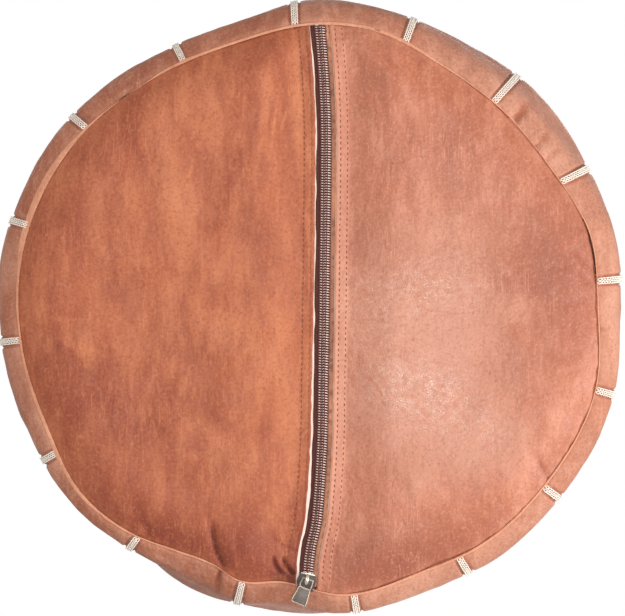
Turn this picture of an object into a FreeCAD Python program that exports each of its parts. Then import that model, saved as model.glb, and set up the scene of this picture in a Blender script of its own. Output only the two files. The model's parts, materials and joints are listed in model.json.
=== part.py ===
"""Stuffed round leather pouf with sixteen side panels, a sixteen-gore top and a zipped base.

Units are millimetres. The pouf stands on its base with +Z up. The origin is the middle of the base,
on the floor. The zip runs across the base, roughly along Y, on a gentle bow that is an arc about a
far centre, and its slider rests at the +Y end with the zip closed. Each sub-part is one STEP file.
"""

import FreeCAD
import Part

import os
from math import cos, degrees, exp, radians, sin

from FreeCAD import Vector

# Driving dimensions
PANELS = 16  # side panels, and top gores above them
HEIGHT = 330.0
LEATHER = 1.8
BASE_RADIUS = 229.5  # base disc, out to its seam
SIDE_PROFILE = [(233.0, 13.5), (247.0, 23.0), (256.5, 52.0), (262.0, 140.0), (256.0, 235.0), (239.0, 286.0)]
TOP_PROFILE = [(235.5, 291.5), (190.0, 309.0), (120.0, 321.0), (40.0, 326.0)]
STUFFING_PROFILE = [
    (222.0, 18.0),
    (243.0, 33.0),
    (251.0, 58.0),
    (257.5, 140.0),
    (251.5, 232.0),
    (231.0, 281.0),
]
STUFFING_TOP = 320.0

# Seams: evenly spread, then eased towards +X as the hand-cut panels differ a little in width
SEAM_START = -5.7
SEAM_EASE = 3.5
SEAM_SLIP, SEAM_SLIP_AT, SEAM_SLIP_SPREAD = 2.4, 222.0, 32.0  # degrees
SEAM_GAP = 0.03  # degrees between neighbouring panels

# Base pan: flat on the floor, rising to the rim and to the zip
RIM_RISE, RIM_WIDTH = 12.0, 30.0
ZIP_RISE, ZIP_SLOPE_WIDTH = 8.0, 28.0
SHELF_WIDTH = 12.0  # flat hem beside the zip
HEM_FOLD, HEM_FOLD_WIDTH = 1.6, 10.0
PAN_TOP = 16.0

# Zip line: an arc about a far centre, bowed towards +X
ZIP_BOW_RADIUS = 2500.0
ZIP_MIDDLE_X = 15.0
ZIP_TILT = 1.24
ZIP_FROM, ZIP_TO = -216.0, 229.0  # full-width stretch of the tapes, as arc lengths
ZIP_TAIL = 6.0  # narrow tape ends running on into the seam
OPENING_HALF = 7.8
TAPE_WIDTH, TAPE_THICKNESS, TAPE_Z, TAPE_INSET = 15.0, 0.6, 11.7, 1.9
COIL_WIDTH, COIL_THICKNESS, COIL_Z = 3.8, 2.6, 8.9
COIL_GAP = 0.05
STITCH_ROWS = (4.0, 9.6)  # from the hem's edge
STITCH_WIDTH, STITCH_HEIGHT = 0.7, 0.35

# Slider and pull tab, in the slider's own frame: +Y towards the closed end, +Z into the pouf
SLIDER_AT, SLIDER_YAW = 224.0, 3.0
SLIDER_OUTLINE = [
    (-5.9, -6.5),
    (5.9, -6.5),
    (7.3, -1.0),
    (7.3, 5.0),
    (6.6, 6.5),
    (-6.6, 6.5),
    (-7.3, 5.0),
    (-7.3, -1.0),
]
OUTER_PLATE_Z, INNER_PLATE_Z, PLATE = 7.4, 12.9, 1.2
FLANGE_WIDTH, FLANGE_TOP = 1.3, 11.1
CROWN_HALF, CROWN_Z = 1.5, 4.3
PIN_Y, PIN_Z, PIN_RADIUS = -1.6, 6.45, 0.7
TAB_YAW = 13.0
TAB_THICKNESS = 1.4
EYE_INNER, EYE_OUTER, EYE_LENGTH = 2.9, 4.3, 8.0
TAB_LENGTH, TAB_NECK_HALF, TAB_END_HALF = 21.4, 4.9, 6.5

# Trim
WELT_FLAP = [
    (229.7, 18.5),
    (229.7, 9.6),
    (231.0, 8.4),
    (237.4, 8.8),
    (237.6, 10.6),
    (231.9, 10.6),
    (231.9, 18.5),
]
BAND_HALF, BAND_HEIGHT, BAND_CLEAR = 3.3, 0.8, 0.05
MEDALLION_RADIUS, MEDALLION_THICKNESS = 46.0, 2.0
MEDALLION_Z = 326.8
POLE_FLAT = 3.0  # flat spot at the middle of a domed piece

Z_AXIS = Vector(0, 0, 1)
ORIGIN = Vector(0, 0, 0)
ZIP_CENTRE = Vector(
    ZIP_MIDDLE_X - ZIP_BOW_RADIUS * cos(radians(ZIP_TILT)),
    -5.0 - ZIP_BOW_RADIUS * sin(radians(ZIP_TILT)),
    0,
)


def seam_angle(k):
    """Angle about +Z, in degrees, of seam k."""
    even = SEAM_START + k * 360.0 / PANELS
    away = ((even - SEAM_SLIP_AT + 180.0) % 360.0 - 180.0) / SEAM_SLIP_SPREAD
    return even + SEAM_EASE * cos(radians(even + 92.0)) - SEAM_SLIP * exp(-away * away)


def in_section(points):
    """Points (radius, height) as vectors in the XZ plane."""
    return [Vector(r, 0, z) for r, z in points]


def spline_through(points):
    curve = Part.BSplineCurve()
    curve.interpolate(points)
    return curve


def offset_spline(points, distance):
    """The spline through points, moved outwards by distance."""
    curve = spline_through(points)
    moved = []
    for p in points:
        along = curve.tangent(curve.parameter(p))[0]
        moved.append(p + Vector(0, 1, 0).cross(along) * distance)
    return spline_through(moved)


def layer_face(profile, inner, outer):
    """A strip in the XZ plane between two offsets of a profile."""
    points = in_section(profile)
    near = offset_spline(points, inner)
    far = offset_spline(points, outer)
    edges = [
        near.toShape(),
        Part.LineSegment(near.EndPoint, far.EndPoint).toShape(),
        far.toShape(),
        Part.LineSegment(far.StartPoint, near.StartPoint).toShape(),
    ]
    return Part.Face(Part.Wire(Part.__sortEdges__(edges)))


def turned(face, start, span):
    """A face revolved about Z from one angle through a span."""
    solid = face.revolve(ORIGIN, Z_AXIS, span)
    solid.rotate(ORIGIN, Z_AXIS, start)
    return solid


def ring(points):
    """A closed polygon of (radius, height) revolved fully about Z."""
    section = in_section(points + points[:1])
    return Part.Face(Part.makePolygon(section)).revolve(ORIGIN, Z_AXIS, 360)


def wedge_panels(profile):
    """One solid between each pair of seams."""
    face = layer_face(profile, -LEATHER, 0)
    panels = []
    for k in range(PANELS):
        start = seam_angle(k) + SEAM_GAP / 2
        span = seam_angle(k + 1) - seam_angle(k) - SEAM_GAP
        if k == PANELS - 1:
            span = seam_angle(0) + 360 - seam_angle(k) - SEAM_GAP
        panels.append(turned(face, start, span))
    return panels


def seam_bands(profile, low, high):
    """A raised band of constant width along every seam, kept between two radii."""
    face = layer_face(profile, BAND_CLEAR, BAND_CLEAR + BAND_HEIGHT)
    face.translate(Vector(0, -BAND_HALF, 0))
    strip = face.extrude(Vector(0, 2 * BAND_HALF, 0))
    keep = Part.makeBox(high - low, 4 * BAND_HALF, HEIGHT + 20, Vector(low, -2 * BAND_HALF, 0))
    strip = strip.common(keep)
    bands = []
    for k in range(PANELS):
        band = strip.copy()
        band.rotate(ORIGIN, Z_AXIS, seam_angle(k))
        bands.append(band)
    return Part.makeCompound(bands)


def zip_sector(near, far, low, high, start=ZIP_FROM, end=ZIP_TO):
    """A curved bar along the zip, between lateral offsets, heights and arc lengths."""
    corners = [(near, low), (far, low), (far, high), (near, high)]
    points = [Vector(ZIP_BOW_RADIUS + d, 0, z) for d, z in corners]
    face = Part.Face(Part.makePolygon(points + points[:1]))
    bar = face.revolve(ORIGIN, Z_AXIS, degrees((end - start) / ZIP_BOW_RADIUS))
    bar.rotate(ORIGIN, Z_AXIS, ZIP_TILT + degrees(start / ZIP_BOW_RADIUS))
    bar.translate(ZIP_CENTRE)
    return bar


def zip_slope(side, lift):
    """What lies under the sloping leather beside the zip on one side."""
    foot = OPENING_HALF + SHELF_WIDTH + ZIP_SLOPE_WIDTH
    shelf = OPENING_HALF + SHELF_WIDTH
    section = [(0, -5), (foot, -5), (foot, lift), (shelf, ZIP_RISE + lift), (0, ZIP_RISE + lift)]
    points = [Vector(ZIP_BOW_RADIUS + side * d, 0, z) for d, z in section]
    face = Part.Face(Part.makePolygon(points + points[:1]))
    reach = 1.1 * BASE_RADIUS
    bar = face.revolve(ORIGIN, Z_AXIS, degrees(2 * reach / ZIP_BOW_RADIUS))
    bar.rotate(ORIGIN, Z_AXIS, ZIP_TILT - degrees(reach / ZIP_BOW_RADIUS))
    bar.translate(ZIP_CENTRE)
    return bar


def base_pan(lift):
    """The space above the base leather's surface, raised by lift, up to PAN_TOP."""
    pan = Part.makeCylinder(BASE_RADIUS, PAN_TOP - lift, Vector(0, 0, lift))
    inner = BASE_RADIUS - RIM_WIDTH
    past = 1.2
    under = [
        (inner, lift - 5),
        (BASE_RADIUS + past * RIM_WIDTH, lift - 5),
        (BASE_RADIUS + past * RIM_WIDTH, lift + (1 + past) * RIM_RISE),
        (inner, lift),
    ]
    pan = pan.cut(ring(under))
    for side in (-1, 1):
        pan = pan.cut(zip_slope(side, lift))
    return pan


def base_panels():
    """The two leather halves, each with a folded hem along the zip."""
    skin = base_pan(0).cut(base_pan(LEATHER))
    reach = 1.1 * BASE_RADIUS
    skin = skin.cut(zip_sector(-OPENING_HALF, OPENING_HALF, -5, PAN_TOP + 5, -reach, reach))
    rim = Part.makeCylinder(BASE_RADIUS - 6, PAN_TOP)
    halves = {}
    for name, side in (("left", -1), ("right", 1)):
        far = BASE_RADIUS * 1.2
        near, out = sorted((0, side * far))
        half = skin.common(zip_sector(near, out, -5, PAN_TOP + 5, -reach, reach))
        low = ZIP_RISE + LEATHER
        near, out = sorted((side * OPENING_HALF, side * (OPENING_HALF + HEM_FOLD_WIDTH)))
        fold = zip_sector(near, out, low, low + HEM_FOLD).common(rim)
        halves[name] = half.fuse(fold).removeSplitter()
    return halves


def stitch_rows(side):
    """The rows of stitching that hold a hem to its tape, as thin rods on the hem."""
    rows = []
    for row in STITCH_ROWS:
        middle = side * (OPENING_HALF + row)
        near, out = middle - STITCH_WIDTH / 2, middle + STITCH_WIDTH / 2
        rows.append(
            zip_sector(near, out, ZIP_RISE - STITCH_HEIGHT - 0.02, ZIP_RISE - 0.02, ZIP_FROM + 2, ZIP_TO - 4)
        )
    return Part.makeCompound(rows)


def prism(outline, low, high):
    points = [Vector(x, y, low) for x, y in outline]
    return Part.Face(Part.makePolygon(points + points[:1])).extrude(Vector(0, 0, high - low))


def on_zip(shape, at):
    """Moves a shape from the slider's frame to a place along the zip."""
    turn = ZIP_TILT + degrees(at / ZIP_BOW_RADIUS)
    placed = shape.copy()
    placed.rotate(ORIGIN, Z_AXIS, turn + SLIDER_YAW)
    placed.translate(ZIP_CENTRE + Vector(cos(radians(turn)), sin(radians(turn)), 0) * ZIP_BOW_RADIUS)
    return placed


def coil(side):
    """One half of the coil, with its last stretch fanned out through the slider's mouth."""
    straight_end = SLIDER_AT + 0.9
    near, out = sorted((side * COIL_GAP, side * (COIL_GAP + COIL_WIDTH)))
    run = zip_sector(near, out, COIL_Z, COIL_Z + COIL_THICKNESS, ZIP_FROM - 5, straight_end)
    fan_end, spread = 6.4, 1.6
    inner, outer = COIL_GAP + 0.1, COIL_GAP + COIL_WIDTH - 0.1
    fan = [
        (side * inner, 0.3),
        (side * outer, 0.3),
        (side * (outer + spread), fan_end),
        (side * (inner + spread), fan_end),
    ]
    arm = on_zip(prism(fan, COIL_Z, COIL_Z + COIL_THICKNESS), SLIDER_AT)
    return run.fuse(arm).removeSplitter()


def crown():
    """The arch on the slider's outer plate that holds the pull tab's pin."""
    arch = [
        (-4.6, OUTER_PLATE_Z),
        (-3.6, 5.0),
        (-2.6, CROWN_Z),
        (2.4, CROWN_Z),
        (3.3, 5.0),
        (3.5, OUTER_PLATE_Z),
    ]
    hole = [(-3.0, OUTER_PLATE_Z), (-2.4, 5.5), (2.3, 5.5), (2.3, OUTER_PLATE_Z)]
    solids = []
    for outline in (arch, hole):
        points = [Vector(-CROWN_HALF, y, z) for y, z in outline]
        face = Part.Face(Part.makePolygon(points + points[:1]))
        solids.append(face.extrude(Vector(2 * CROWN_HALF, 0, 0)))
    return solids[0].cut(solids[1])


def slider():
    """The slider: two plates joined by a wedge post, side flanges, rear rib and crown."""
    outer = prism(SLIDER_OUTLINE, OUTER_PLATE_Z, OUTER_PLATE_Z + PLATE)
    inner = prism(SLIDER_OUTLINE, INNER_PLATE_Z, INNER_PLATE_Z + PLATE)
    flange_top = outer.BoundBox.ZMax
    hollow = [(x - FLANGE_WIDTH if x > 0 else x + FLANGE_WIDTH, 1.1 * y) for x, y in SLIDER_OUTLINE]
    walls = prism(SLIDER_OUTLINE, flange_top, FLANGE_TOP).cut(prism(hollow, flange_top, FLANGE_TOP))
    post_outline = [(0, 1.9), (0.5, 3.2), (1.0, 5.4), (-1.0, 5.4), (-0.5, 3.2)]
    post = prism(post_outline, flange_top, INNER_PLATE_Z)
    rib = Part.makeBox(11.6, 1.0, 0.5, Vector(-5.8, -6.5, OUTER_PLATE_Z - 0.5))
    body = outer
    for piece in (inner, walls, post, rib, crown()):
        body = body.fuse(piece)
    return body.removeSplitter()


def pull_tab():
    """The tab: a pin, two arms round the crown, and a tapered plate with a shallow pocket."""
    half = TAB_THICKNESS / 2
    outline = [
        (-EYE_OUTER, -half),
        (EYE_OUTER, -half),
        (EYE_OUTER, EYE_LENGTH - 1.8),
        (TAB_NECK_HALF, EYE_LENGTH - 1),
        (TAB_END_HALF, TAB_LENGTH - 1),
        (TAB_END_HALF - 1, TAB_LENGTH),
        (1 - TAB_END_HALF, TAB_LENGTH),
        (-TAB_END_HALF, TAB_LENGTH - 1),
        (-TAB_NECK_HALF, EYE_LENGTH - 1),
        (-EYE_OUTER, EYE_LENGTH - 1.8),
    ]
    eye = [(-EYE_INNER, -2), (EYE_INNER, -2), (EYE_INNER, EYE_LENGTH), (-EYE_INNER, EYE_LENGTH)]
    pocket = [(-3.9, 9.6), (3.9, 9.6), (5.2, 20.1), (-5.2, 20.1)]
    plate = prism(outline, -half, half).cut(prism(eye, -half, half))
    plate = plate.cut(prism(pocket, -half, -half + 0.35))
    pin = Part.makeCylinder(PIN_RADIUS, 2 * EYE_OUTER, Vector(-EYE_OUTER, 0, 0), Vector(1, 0, 0))
    tab = plate.fuse(pin).removeSplitter()
    tab.rotate(ORIGIN, Z_AXIS, TAB_YAW)
    tab.translate(Vector(0, PIN_Y, PIN_Z))
    return tab


def tape(side):
    """One tape: full width under its hem, and a narrow tail at each end."""
    high = TAPE_Z + TAPE_THICKNESS
    near, out = sorted((side * TAPE_INSET, side * (TAPE_INSET + TAPE_WIDTH)))
    full = zip_sector(near, out, TAPE_Z, high)
    near, out = sorted((side * TAPE_INSET, side * (OPENING_HALF - 0.4)))
    tail = zip_sector(near, out, TAPE_Z, high, ZIP_FROM - ZIP_TAIL, ZIP_TO + ZIP_TAIL - 2)
    return full.fuse(tail).removeSplitter()


def top_stops():
    """Two small crimps past the slider's mouth, one on each tape."""
    stops = []
    for side in (-1, 1):
        near, out = sorted((side * 2.2, side * 5.2))
        stops.append(zip_sector(near, out, 9.0, 11.65, ZIP_TO + 2.0, ZIP_TO + 3.4))
    return Part.makeCompound(stops)


def bottom_stop():
    """A crimp below the end of the coil, between the two tapes, that joins them."""
    return zip_sector(-TAPE_INSET + 0.1, TAPE_INSET - 0.1, 8.7, 12.8, ZIP_FROM - 7.6, ZIP_FROM - 5.2).fuse(
        zip_sector(-4.5, 4.5, 8.7, TAPE_Z - 0.1, ZIP_FROM - 7.6, ZIP_FROM - 5.2)
    )


def stuffing_solid(grow):
    """The stuffing's body of revolution, grown outwards."""
    side = in_section([(r + grow, z) for r, z in STUFFING_PROFILE])
    side[0].z -= grow
    wall = spline_through(side)
    shoulder = Vector(130, 0, STUFFING_TOP - 9 + grow)
    dome = Part.Arc(wall.EndPoint, shoulder, Vector(POLE_FLAT, 0, STUFFING_TOP + grow))
    crest = Vector(0, 0, STUFFING_TOP + grow)
    foot = Vector(0, 0, side[0].z)
    edges = [
        wall.toShape(),
        dome.toShape(),
        Part.LineSegment(dome.EndPoint, crest).toShape(),
        Part.LineSegment(crest, foot).toShape(),
        Part.LineSegment(foot, wall.StartPoint).toShape(),
    ]
    return Part.Face(Part.Wire(Part.__sortEdges__(edges))).revolve(ORIGIN, Z_AXIS, 360)


def medallion():
    """A slightly domed leather disc over the meeting point of the gores."""
    edge = Vector(MEDALLION_RADIUS, 0, MEDALLION_Z)
    half_way = Vector(MEDALLION_RADIUS / 2, 0, MEDALLION_Z + 0.6)
    pole = Vector(POLE_FLAT, 0, MEDALLION_Z + 0.8)
    up = Vector(0, 0, MEDALLION_THICKNESS)
    low = Part.Arc(edge, half_way, pole)
    high = Part.Arc(edge + up, half_way + up, pole + up)
    middle = Vector(0, 0, pole.z)
    edges = [
        low.toShape(),
        Part.LineSegment(pole, middle).toShape(),
        Part.LineSegment(middle, middle + up).toShape(),
        Part.LineSegment(middle + up, pole + up).toShape(),
        high.toShape(),
        Part.LineSegment(edge + up, edge).toShape(),
    ]
    return Part.Face(Part.Wire(Part.__sortEdges__(edges))).revolve(ORIGIN, Z_AXIS, 360)


def top_welt():
    """A rolled cord of leather in the seam between the side and the top."""
    welt = Part.makeTorus(240.6, 3.0)
    welt.translate(Vector(0, 0, 290.6))
    return welt


def assembly():
    """Every sub-part, by node name."""
    halves = base_panels()
    parts = {"base_panel_left": halves["left"], "base_panel_right": halves["right"]}
    for k, panel in enumerate(wedge_panels(SIDE_PROFILE), 1):
        parts[f"side_panel_{k:02d}"] = panel
    for k, gore in enumerate(wedge_panels(TOP_PROFILE), 1):
        parts[f"top_panel_{k:02d}"] = gore
    parts["base_welt"] = ring(WELT_FLAP)
    parts["top_welt"] = top_welt()
    parts["top_medallion"] = medallion()
    rim = MEDALLION_RADIUS
    top = MEDALLION_Z + MEDALLION_THICKNESS
    band = [(rim - 7, top + 0.3), (rim - 1, top + 0.1), (rim - 1, top + 0.9), (rim - 7, top + 1.1)]
    parts["medallion_embroidery"] = ring(band)
    parts["side_seam_embroidery"] = seam_bands(SIDE_PROFILE, 238.0, 270.0)
    parts["top_seam_embroidery"] = seam_bands(TOP_PROFILE, rim + 1.0, 233.0)
    for name, side in (("left", -1), ("right", 1)):
        parts[f"zip_tape_{name}"] = tape(side)
        parts[f"zip_coil_{name}"] = coil(side)
        parts[f"zip_stitching_{name}"] = stitch_rows(side)
    parts["zip_top_stops"] = top_stops()
    parts["zip_bottom_stop"] = bottom_stop()
    parts["zip_slider"] = on_zip(slider(), SLIDER_AT)
    parts["zip_pull_tab"] = on_zip(pull_tab(), SLIDER_AT)
    core = stuffing_solid(0)
    parts["stuffing"] = core
    parts["inner_bag"] = stuffing_solid(0.8).cut(stuffing_solid(0.2))
    return parts


def main():
    os.makedirs("parts", exist_ok=True)
    for name, shape in assembly().items():
        shape.exportStep(f"parts/{name}.step")
        box = shape.BoundBox
        state = f"solids {len(shape.Solids)} valid {shape.isValid()} volume {shape.Volume:.1f}"
        across = f"x {box.XMin:.2f} {box.XMax:.2f} y {box.YMin:.2f} {box.YMax:.2f}"
        print(f"{name}: {state} {across} z {box.ZMin:.2f} {box.ZMax:.2f}")


main()
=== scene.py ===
"""Looks of the round leather pouf: hand-cut goat leather, chain-stitched seams, a welted base and its zip.

Shapes are worked out in millimetres in the row frame and become metres when a mesh is made.
Angles go about +Z from +X. The zip is an arc about a far centre, which is its slider's joint axis.
"""
import json
from math import atan2, cos, degrees, hypot, pi, radians, sin

import bmesh
import bpy
import numpy as np
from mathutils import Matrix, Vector

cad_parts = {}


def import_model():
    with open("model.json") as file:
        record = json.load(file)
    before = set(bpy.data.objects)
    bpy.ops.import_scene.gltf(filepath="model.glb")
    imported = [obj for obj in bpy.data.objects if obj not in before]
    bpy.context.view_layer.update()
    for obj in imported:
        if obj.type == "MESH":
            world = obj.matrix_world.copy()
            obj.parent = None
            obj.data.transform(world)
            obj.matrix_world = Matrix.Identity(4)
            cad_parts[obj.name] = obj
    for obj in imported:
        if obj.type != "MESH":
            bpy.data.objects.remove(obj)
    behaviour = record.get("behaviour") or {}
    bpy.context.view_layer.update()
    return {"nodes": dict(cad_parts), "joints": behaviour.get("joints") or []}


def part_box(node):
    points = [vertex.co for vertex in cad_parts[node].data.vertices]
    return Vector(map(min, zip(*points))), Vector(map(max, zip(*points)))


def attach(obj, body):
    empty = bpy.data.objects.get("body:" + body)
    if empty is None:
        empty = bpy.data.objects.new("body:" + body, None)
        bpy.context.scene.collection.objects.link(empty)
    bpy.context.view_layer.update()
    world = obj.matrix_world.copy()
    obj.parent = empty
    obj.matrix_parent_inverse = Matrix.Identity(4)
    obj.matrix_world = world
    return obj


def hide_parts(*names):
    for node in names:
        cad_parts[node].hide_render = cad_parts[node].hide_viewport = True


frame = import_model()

MM = 0.001
PANELS = 16
LEATHER = 1.8  # thickness, in millimetres like all below that says nothing else
SIDE_NAMES = {-1: "left", 1: "right"}
STITCH_ROWS = (4.0, 9.6)  # lockstitch rows, from the leather's edge beside the zip
STITCH_PITCH = 4.35
SLIDER_YAW = 5.0  # degrees by which the slider stands askew on the zip
# Cloth run of the side wall: columns to a panel, rises, and the furthest it may push
SWELL_COLUMNS, SWELL_RISES, SWELL_LIMIT = 8, 26, 5.0
CLOTH_FRAMES, CLOTH_PRESSURE = 20, 4.0
WALL_SWELL = None
# Stage, in metres
AMBIENT = 0.50
SENSOR = 36.0  # millimetres
CAMERA_FROM = 2.2
VIEW_WIDTH = 0.5
VIEW_MIDDLE = (0.0038, -0.0008)


def joint(name):
    return next(j for j in frame["joints"] if j["name"] == name)


def low_high(node):
    """A CAD node's box, in millimetres."""
    low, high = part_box(node)
    return np.array(low) / MM, np.array(high) / MM


# Zip line, from the joints
ZIP_CENTRE = np.array(joint("zip_travel")["pos_m"][:2]) / MM
ZIP_MIDDLE = np.array([15.0, -5.0])  # a point half-way along it
ZIP_R = float(np.linalg.norm(ZIP_MIDDLE - ZIP_CENTRE))
ZIP_TILT = atan2(*(ZIP_MIDDLE - ZIP_CENTRE)[::-1])
OPENING_HALF = 7.8  # from the middle of the zip to the leather's edges
COIL_Z = low_high("zip_coil_left")[0][2]
TAPE_Z = low_high("zip_tape_left")[0][2]
TAB_PIN = np.array(joint("pull_tab_flip")["pos_m"]) / MM
TAB_AXIS = np.array(joint("pull_tab_flip")["axis"])

# Seam round the base: (degrees, millimetres from the middle)
SEAM_OUTLINE = [
    (0, 233), (16, 240), (35, 237), (56, 234), (65, 230), (83, 231), (96, 220), (104, 225), (111, 218.5),
    (119, 221), (128, 229), (140, 234.5), (156, 229.5), (172, 231.5), (190, 233.5), (206, 232),
    (217, 229.5), (236, 223), (256, 221.5), (270, 228), (281, 230), (300, 223), (315, 223.5), (330, 225.5),
    (345, 234.5),
]
# Widest outline of the side wall, half-way up
GIRTH_OUTLINE = [
    (0, 259.5), (10, 254.5), (22, 256.5), (40, 257.5), (52, 253.5), (62, 253), (74, 251), (90, 253),
    (102, 251.5), (112, 251.5), (120, 247), (128, 237.5), (138, 236), (148, 246.5), (160, 254.5),
    (170, 254), (186, 258.5), (200, 256.5), (218, 253.5), (230, 248), (245, 242), (258, 246), (270, 257.5),
    (285, 258), (300, 258), (315, 262.5), (330, 261), (350, 259.5),
]
# How far the welt's folded flap shows outside the base seam
WELT_SHOWS = [
    (0, 1.0), (12, 1.0), (25, 1.1), (38, 1.8), (50, 2.1), (60, 2.1), (75, 1.9), (88, 1.4), (93, 0.9),
    (98, 2.1), (104, 1.1), (108, 0.3), (111, 1.2), (118, 1.4), (127, 1.4), (135, 2.4), (145, 3.1),
    (155, 3.1), (165, 2.6), (175, 1.7), (182, 2.1), (188, 2.4), (192, 4.7), (198, 5.4), (205, 5.7),
    (212, 4.8), (220, 1.9), (227, 0.3), (232, 0.1), (240, 2.3), (250, 2.4), (260, 2.1), (272, 2.3),
    (280, 2.6), (290, 2.8), (300, 1.4), (320, 1.0), (335, 1.0), (345, 0.8),
]
# How far the zip strays from its joint's arc: (arc length, towards +X)
ZIP_SWAY = [
    (-240, -0.2), (-226, -0.2), (-180, 0.7), (-146, 0.7), (-110, -0.3), (-42, -1.7), (22, -1.3), (66, -0.3),
    (100, 1.2), (134, 2.0), (156, 2.2), (178, 2.0), (194, 0.0), (206, -0.8), (221, -0.3), (240, -0.3),
]
# How light the side wall is, round the pouf: partly its hand-dyed tone, partly painted light and shade by
# which way it faces the light
WALL_TONE = [
    (0, 0.15), (20, 0.30), (40, 0.15), (60, 0.40), (80, 0.15), (100, -0.10), (120, -0.25), (140, -0.10),
    (160, 0.10), (180, 0.20), (200, 0.05), (220, -0.15), (240, -0.25), (260, -0.15), (280, -0.05),
    (300, 0.20), (320, 0.35), (340, 0.30),
]
# Folds pressed into the foot of the wall: (degrees, depth, width, how far up)
WALL_FOLDS = [
    (108.4, 4.2, 1.9, 46), (221, 1.8, 3.2, 34), (227.5, 1.8, 2.4, 28), (232, 1.1, 2.0, 22),
    (317.5, 4.0, 3.2, 32), (324.5, 3.8, 2.0, 28), (328, 2.8, 1.4, 26), (190, 0.9, 2.2, 24),
    (45, 0.9, 1.6, 20), (4, 1.2, 2.4, 26), (87, 0.8, 1.8, 24), (93, 1.0, 1.6, 18),
]
# Side wall, from the base seam to the top seam: (radius, height)
WALL_PROFILE = [(232.5, 12.5), (247.0, 23.5), (256.5, 52.0), (262.0, 140.0), (256.0, 235.0), (238.5, 286.5)]
GIRTH_R = WALL_PROFILE[3][0]
WALL_RISE = 290.0  # from the floor to the top seam
TOP_PROFILE = [(236.5, 291.0), (222.0, 299.5), (190.0, 309.0), (120.0, 321.0), (40.0, 326.0)]
SEAM_Z = 12.0  # height of the base seam above the floor


# ---------------------------------------------------------------- shape maths

def smooth(t):
    t = np.clip(t, 0, 1)
    return t * t * (3 - 2 * t)


def bump(distance, width):
    return np.exp(-((distance / width) ** 2))


def circle(angle):
    """Cosine and sine of an angle in degrees."""
    a = np.radians(angle)
    return np.cos(a), np.sin(a)


def crowded(count, amount):
    """Shares from 0 to 1 that lie closer together towards both ends."""
    share = np.linspace(0, 1, count)
    return share - amount * np.sin(2 * pi * share) / (2 * pi)


def noise(x, y, z=0.0, seed=0):
    """Smooth value noise from about -1 to 1, one cell per unit."""
    axes = [np.asarray(a, float) for a in np.broadcast_arrays(x, y, z)]
    cells = [np.floor(a).astype(np.int64) for a in axes]
    parts = [a - c for a, c in zip(axes, cells)]
    fades = [t * t * t * (t * (6 * t - 15) + 10) for t in parts]
    total = np.zeros_like(axes[0])
    for dx in (0, 1):
        for dy in (0, 1):
            for dz in (0, 1):
                h = (cells[0] + dx) * 73856093 ^ (cells[1] + dy) * 19349663
                h = (h ^ (cells[2] + dz) * 83492791 ^ (seed + 1) * 2654435761) & 0xFFFFFFFF
                h = ((h ^ (h >> 15)) * 2246822519) & 0xFFFFFFFF
                h = ((h ^ (h >> 13)) * 3266489917) & 0xFFFFFFFF
                value = ((h ^ (h >> 16)) & 0xFFFF) / 32767.5 - 1
                weight = 1.0
                for d, f in zip((dx, dy, dz), fades):
                    weight = weight * (f if d else 1 - f)
                total = total + value * weight
    return total


def layered(x, y, z=0.0, seed=0, layers=3):
    """Noise with finer, weaker layers on top."""
    total = 0.0
    for i in range(layers):
        total = total + noise(x * 2**i, y * 2**i, np.asarray(z) * 2**i, seed + 17 * i) * 0.5**i
    return total


def through(knots, values, at):
    """A smooth curve through values at knots."""
    knots, values, at = np.asarray(knots, float), np.asarray(values, float), np.asarray(at, float)
    slopes = np.gradient(values, knots, axis=0)
    i = np.clip(np.searchsorted(knots, at) - 1, 0, len(knots) - 2)
    h = knots[i + 1] - knots[i]
    t = (at - knots[i]) / h
    shape = (...,) + (None,) * (values.ndim - 1)
    h, t = h[shape], t[shape]
    return (
        (2 * t**3 - 3 * t**2 + 1) * values[i] + (t**3 - 2 * t**2 + t) * h * slopes[i]
        + (3 * t**2 - 2 * t**3) * values[i + 1] + (t**3 - t**2) * h * slopes[i + 1]
    )


def around(outline, angle):
    """A closed outline's value at an angle in degrees."""
    outline = [(a - 360, v) for a, v in outline[-3:]] + outline + [(a + 360, v) for a, v in outline[:3]]
    knots, values = zip(*outline)
    return through(knots, values, np.asarray(angle, float) % 360)


def profile_point(profile, t):
    """(radius, height) and the outward normal of a profile at t, from 0 to 1 along it."""
    points = np.array(profile)
    knots = np.concatenate([[0], np.cumsum(np.linalg.norm(np.diff(points, axis=0), axis=1))])
    knots = knots / knots[-1]
    here = through(knots, points, t)
    step = 1e-3
    ahead = through(knots, points, np.minimum(t + step, 1)) - through(knots, points, np.maximum(t - step, 0))
    normal = np.stack([ahead[..., 1], -ahead[..., 0]], axis=-1)
    return here, normal / np.linalg.norm(normal, axis=-1, keepdims=True)


def node_angles(node):
    """The lowest and highest angle of a CAD panel, in degrees."""
    co = np.array([v.co for v in frame["nodes"][node].data.vertices])
    middle = degrees(atan2(co[:, 1].mean(), co[:, 0].mean()))
    spread = (np.degrees(np.arctan2(co[:, 1], co[:, 0])) - middle + 180) % 360 - 180
    return middle + spread.min(), middle + spread.max()


PANEL_ANGLES = [node_angles(f"side_panel_{k:02d}") for k in range(1, PANELS + 1)]
SEAMS = [low for low, _ in PANEL_ANGLES]


def seam_radius(angle):
    return around(SEAM_OUTLINE, angle)


def girth_past_round(angle):
    """How far the pouf's widest outline stands outside a round one."""
    return around(GIRTH_OUTLINE, angle) - GIRTH_R


def zip_sway(along):
    return through(*zip(*ZIP_SWAY), np.clip(along, ZIP_SWAY[0][0], ZIP_SWAY[-1][0]))


def zip_place(along, lateral):
    """A place on the base from its arc length along the zip and its distance to the +X side of it."""
    turn = ZIP_TILT + np.asarray(along) / ZIP_R
    radius = ZIP_R + np.asarray(lateral) + zip_sway(along)
    return ZIP_CENTRE[0] + radius * np.cos(turn), ZIP_CENTRE[1] + radius * np.sin(turn)


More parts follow.
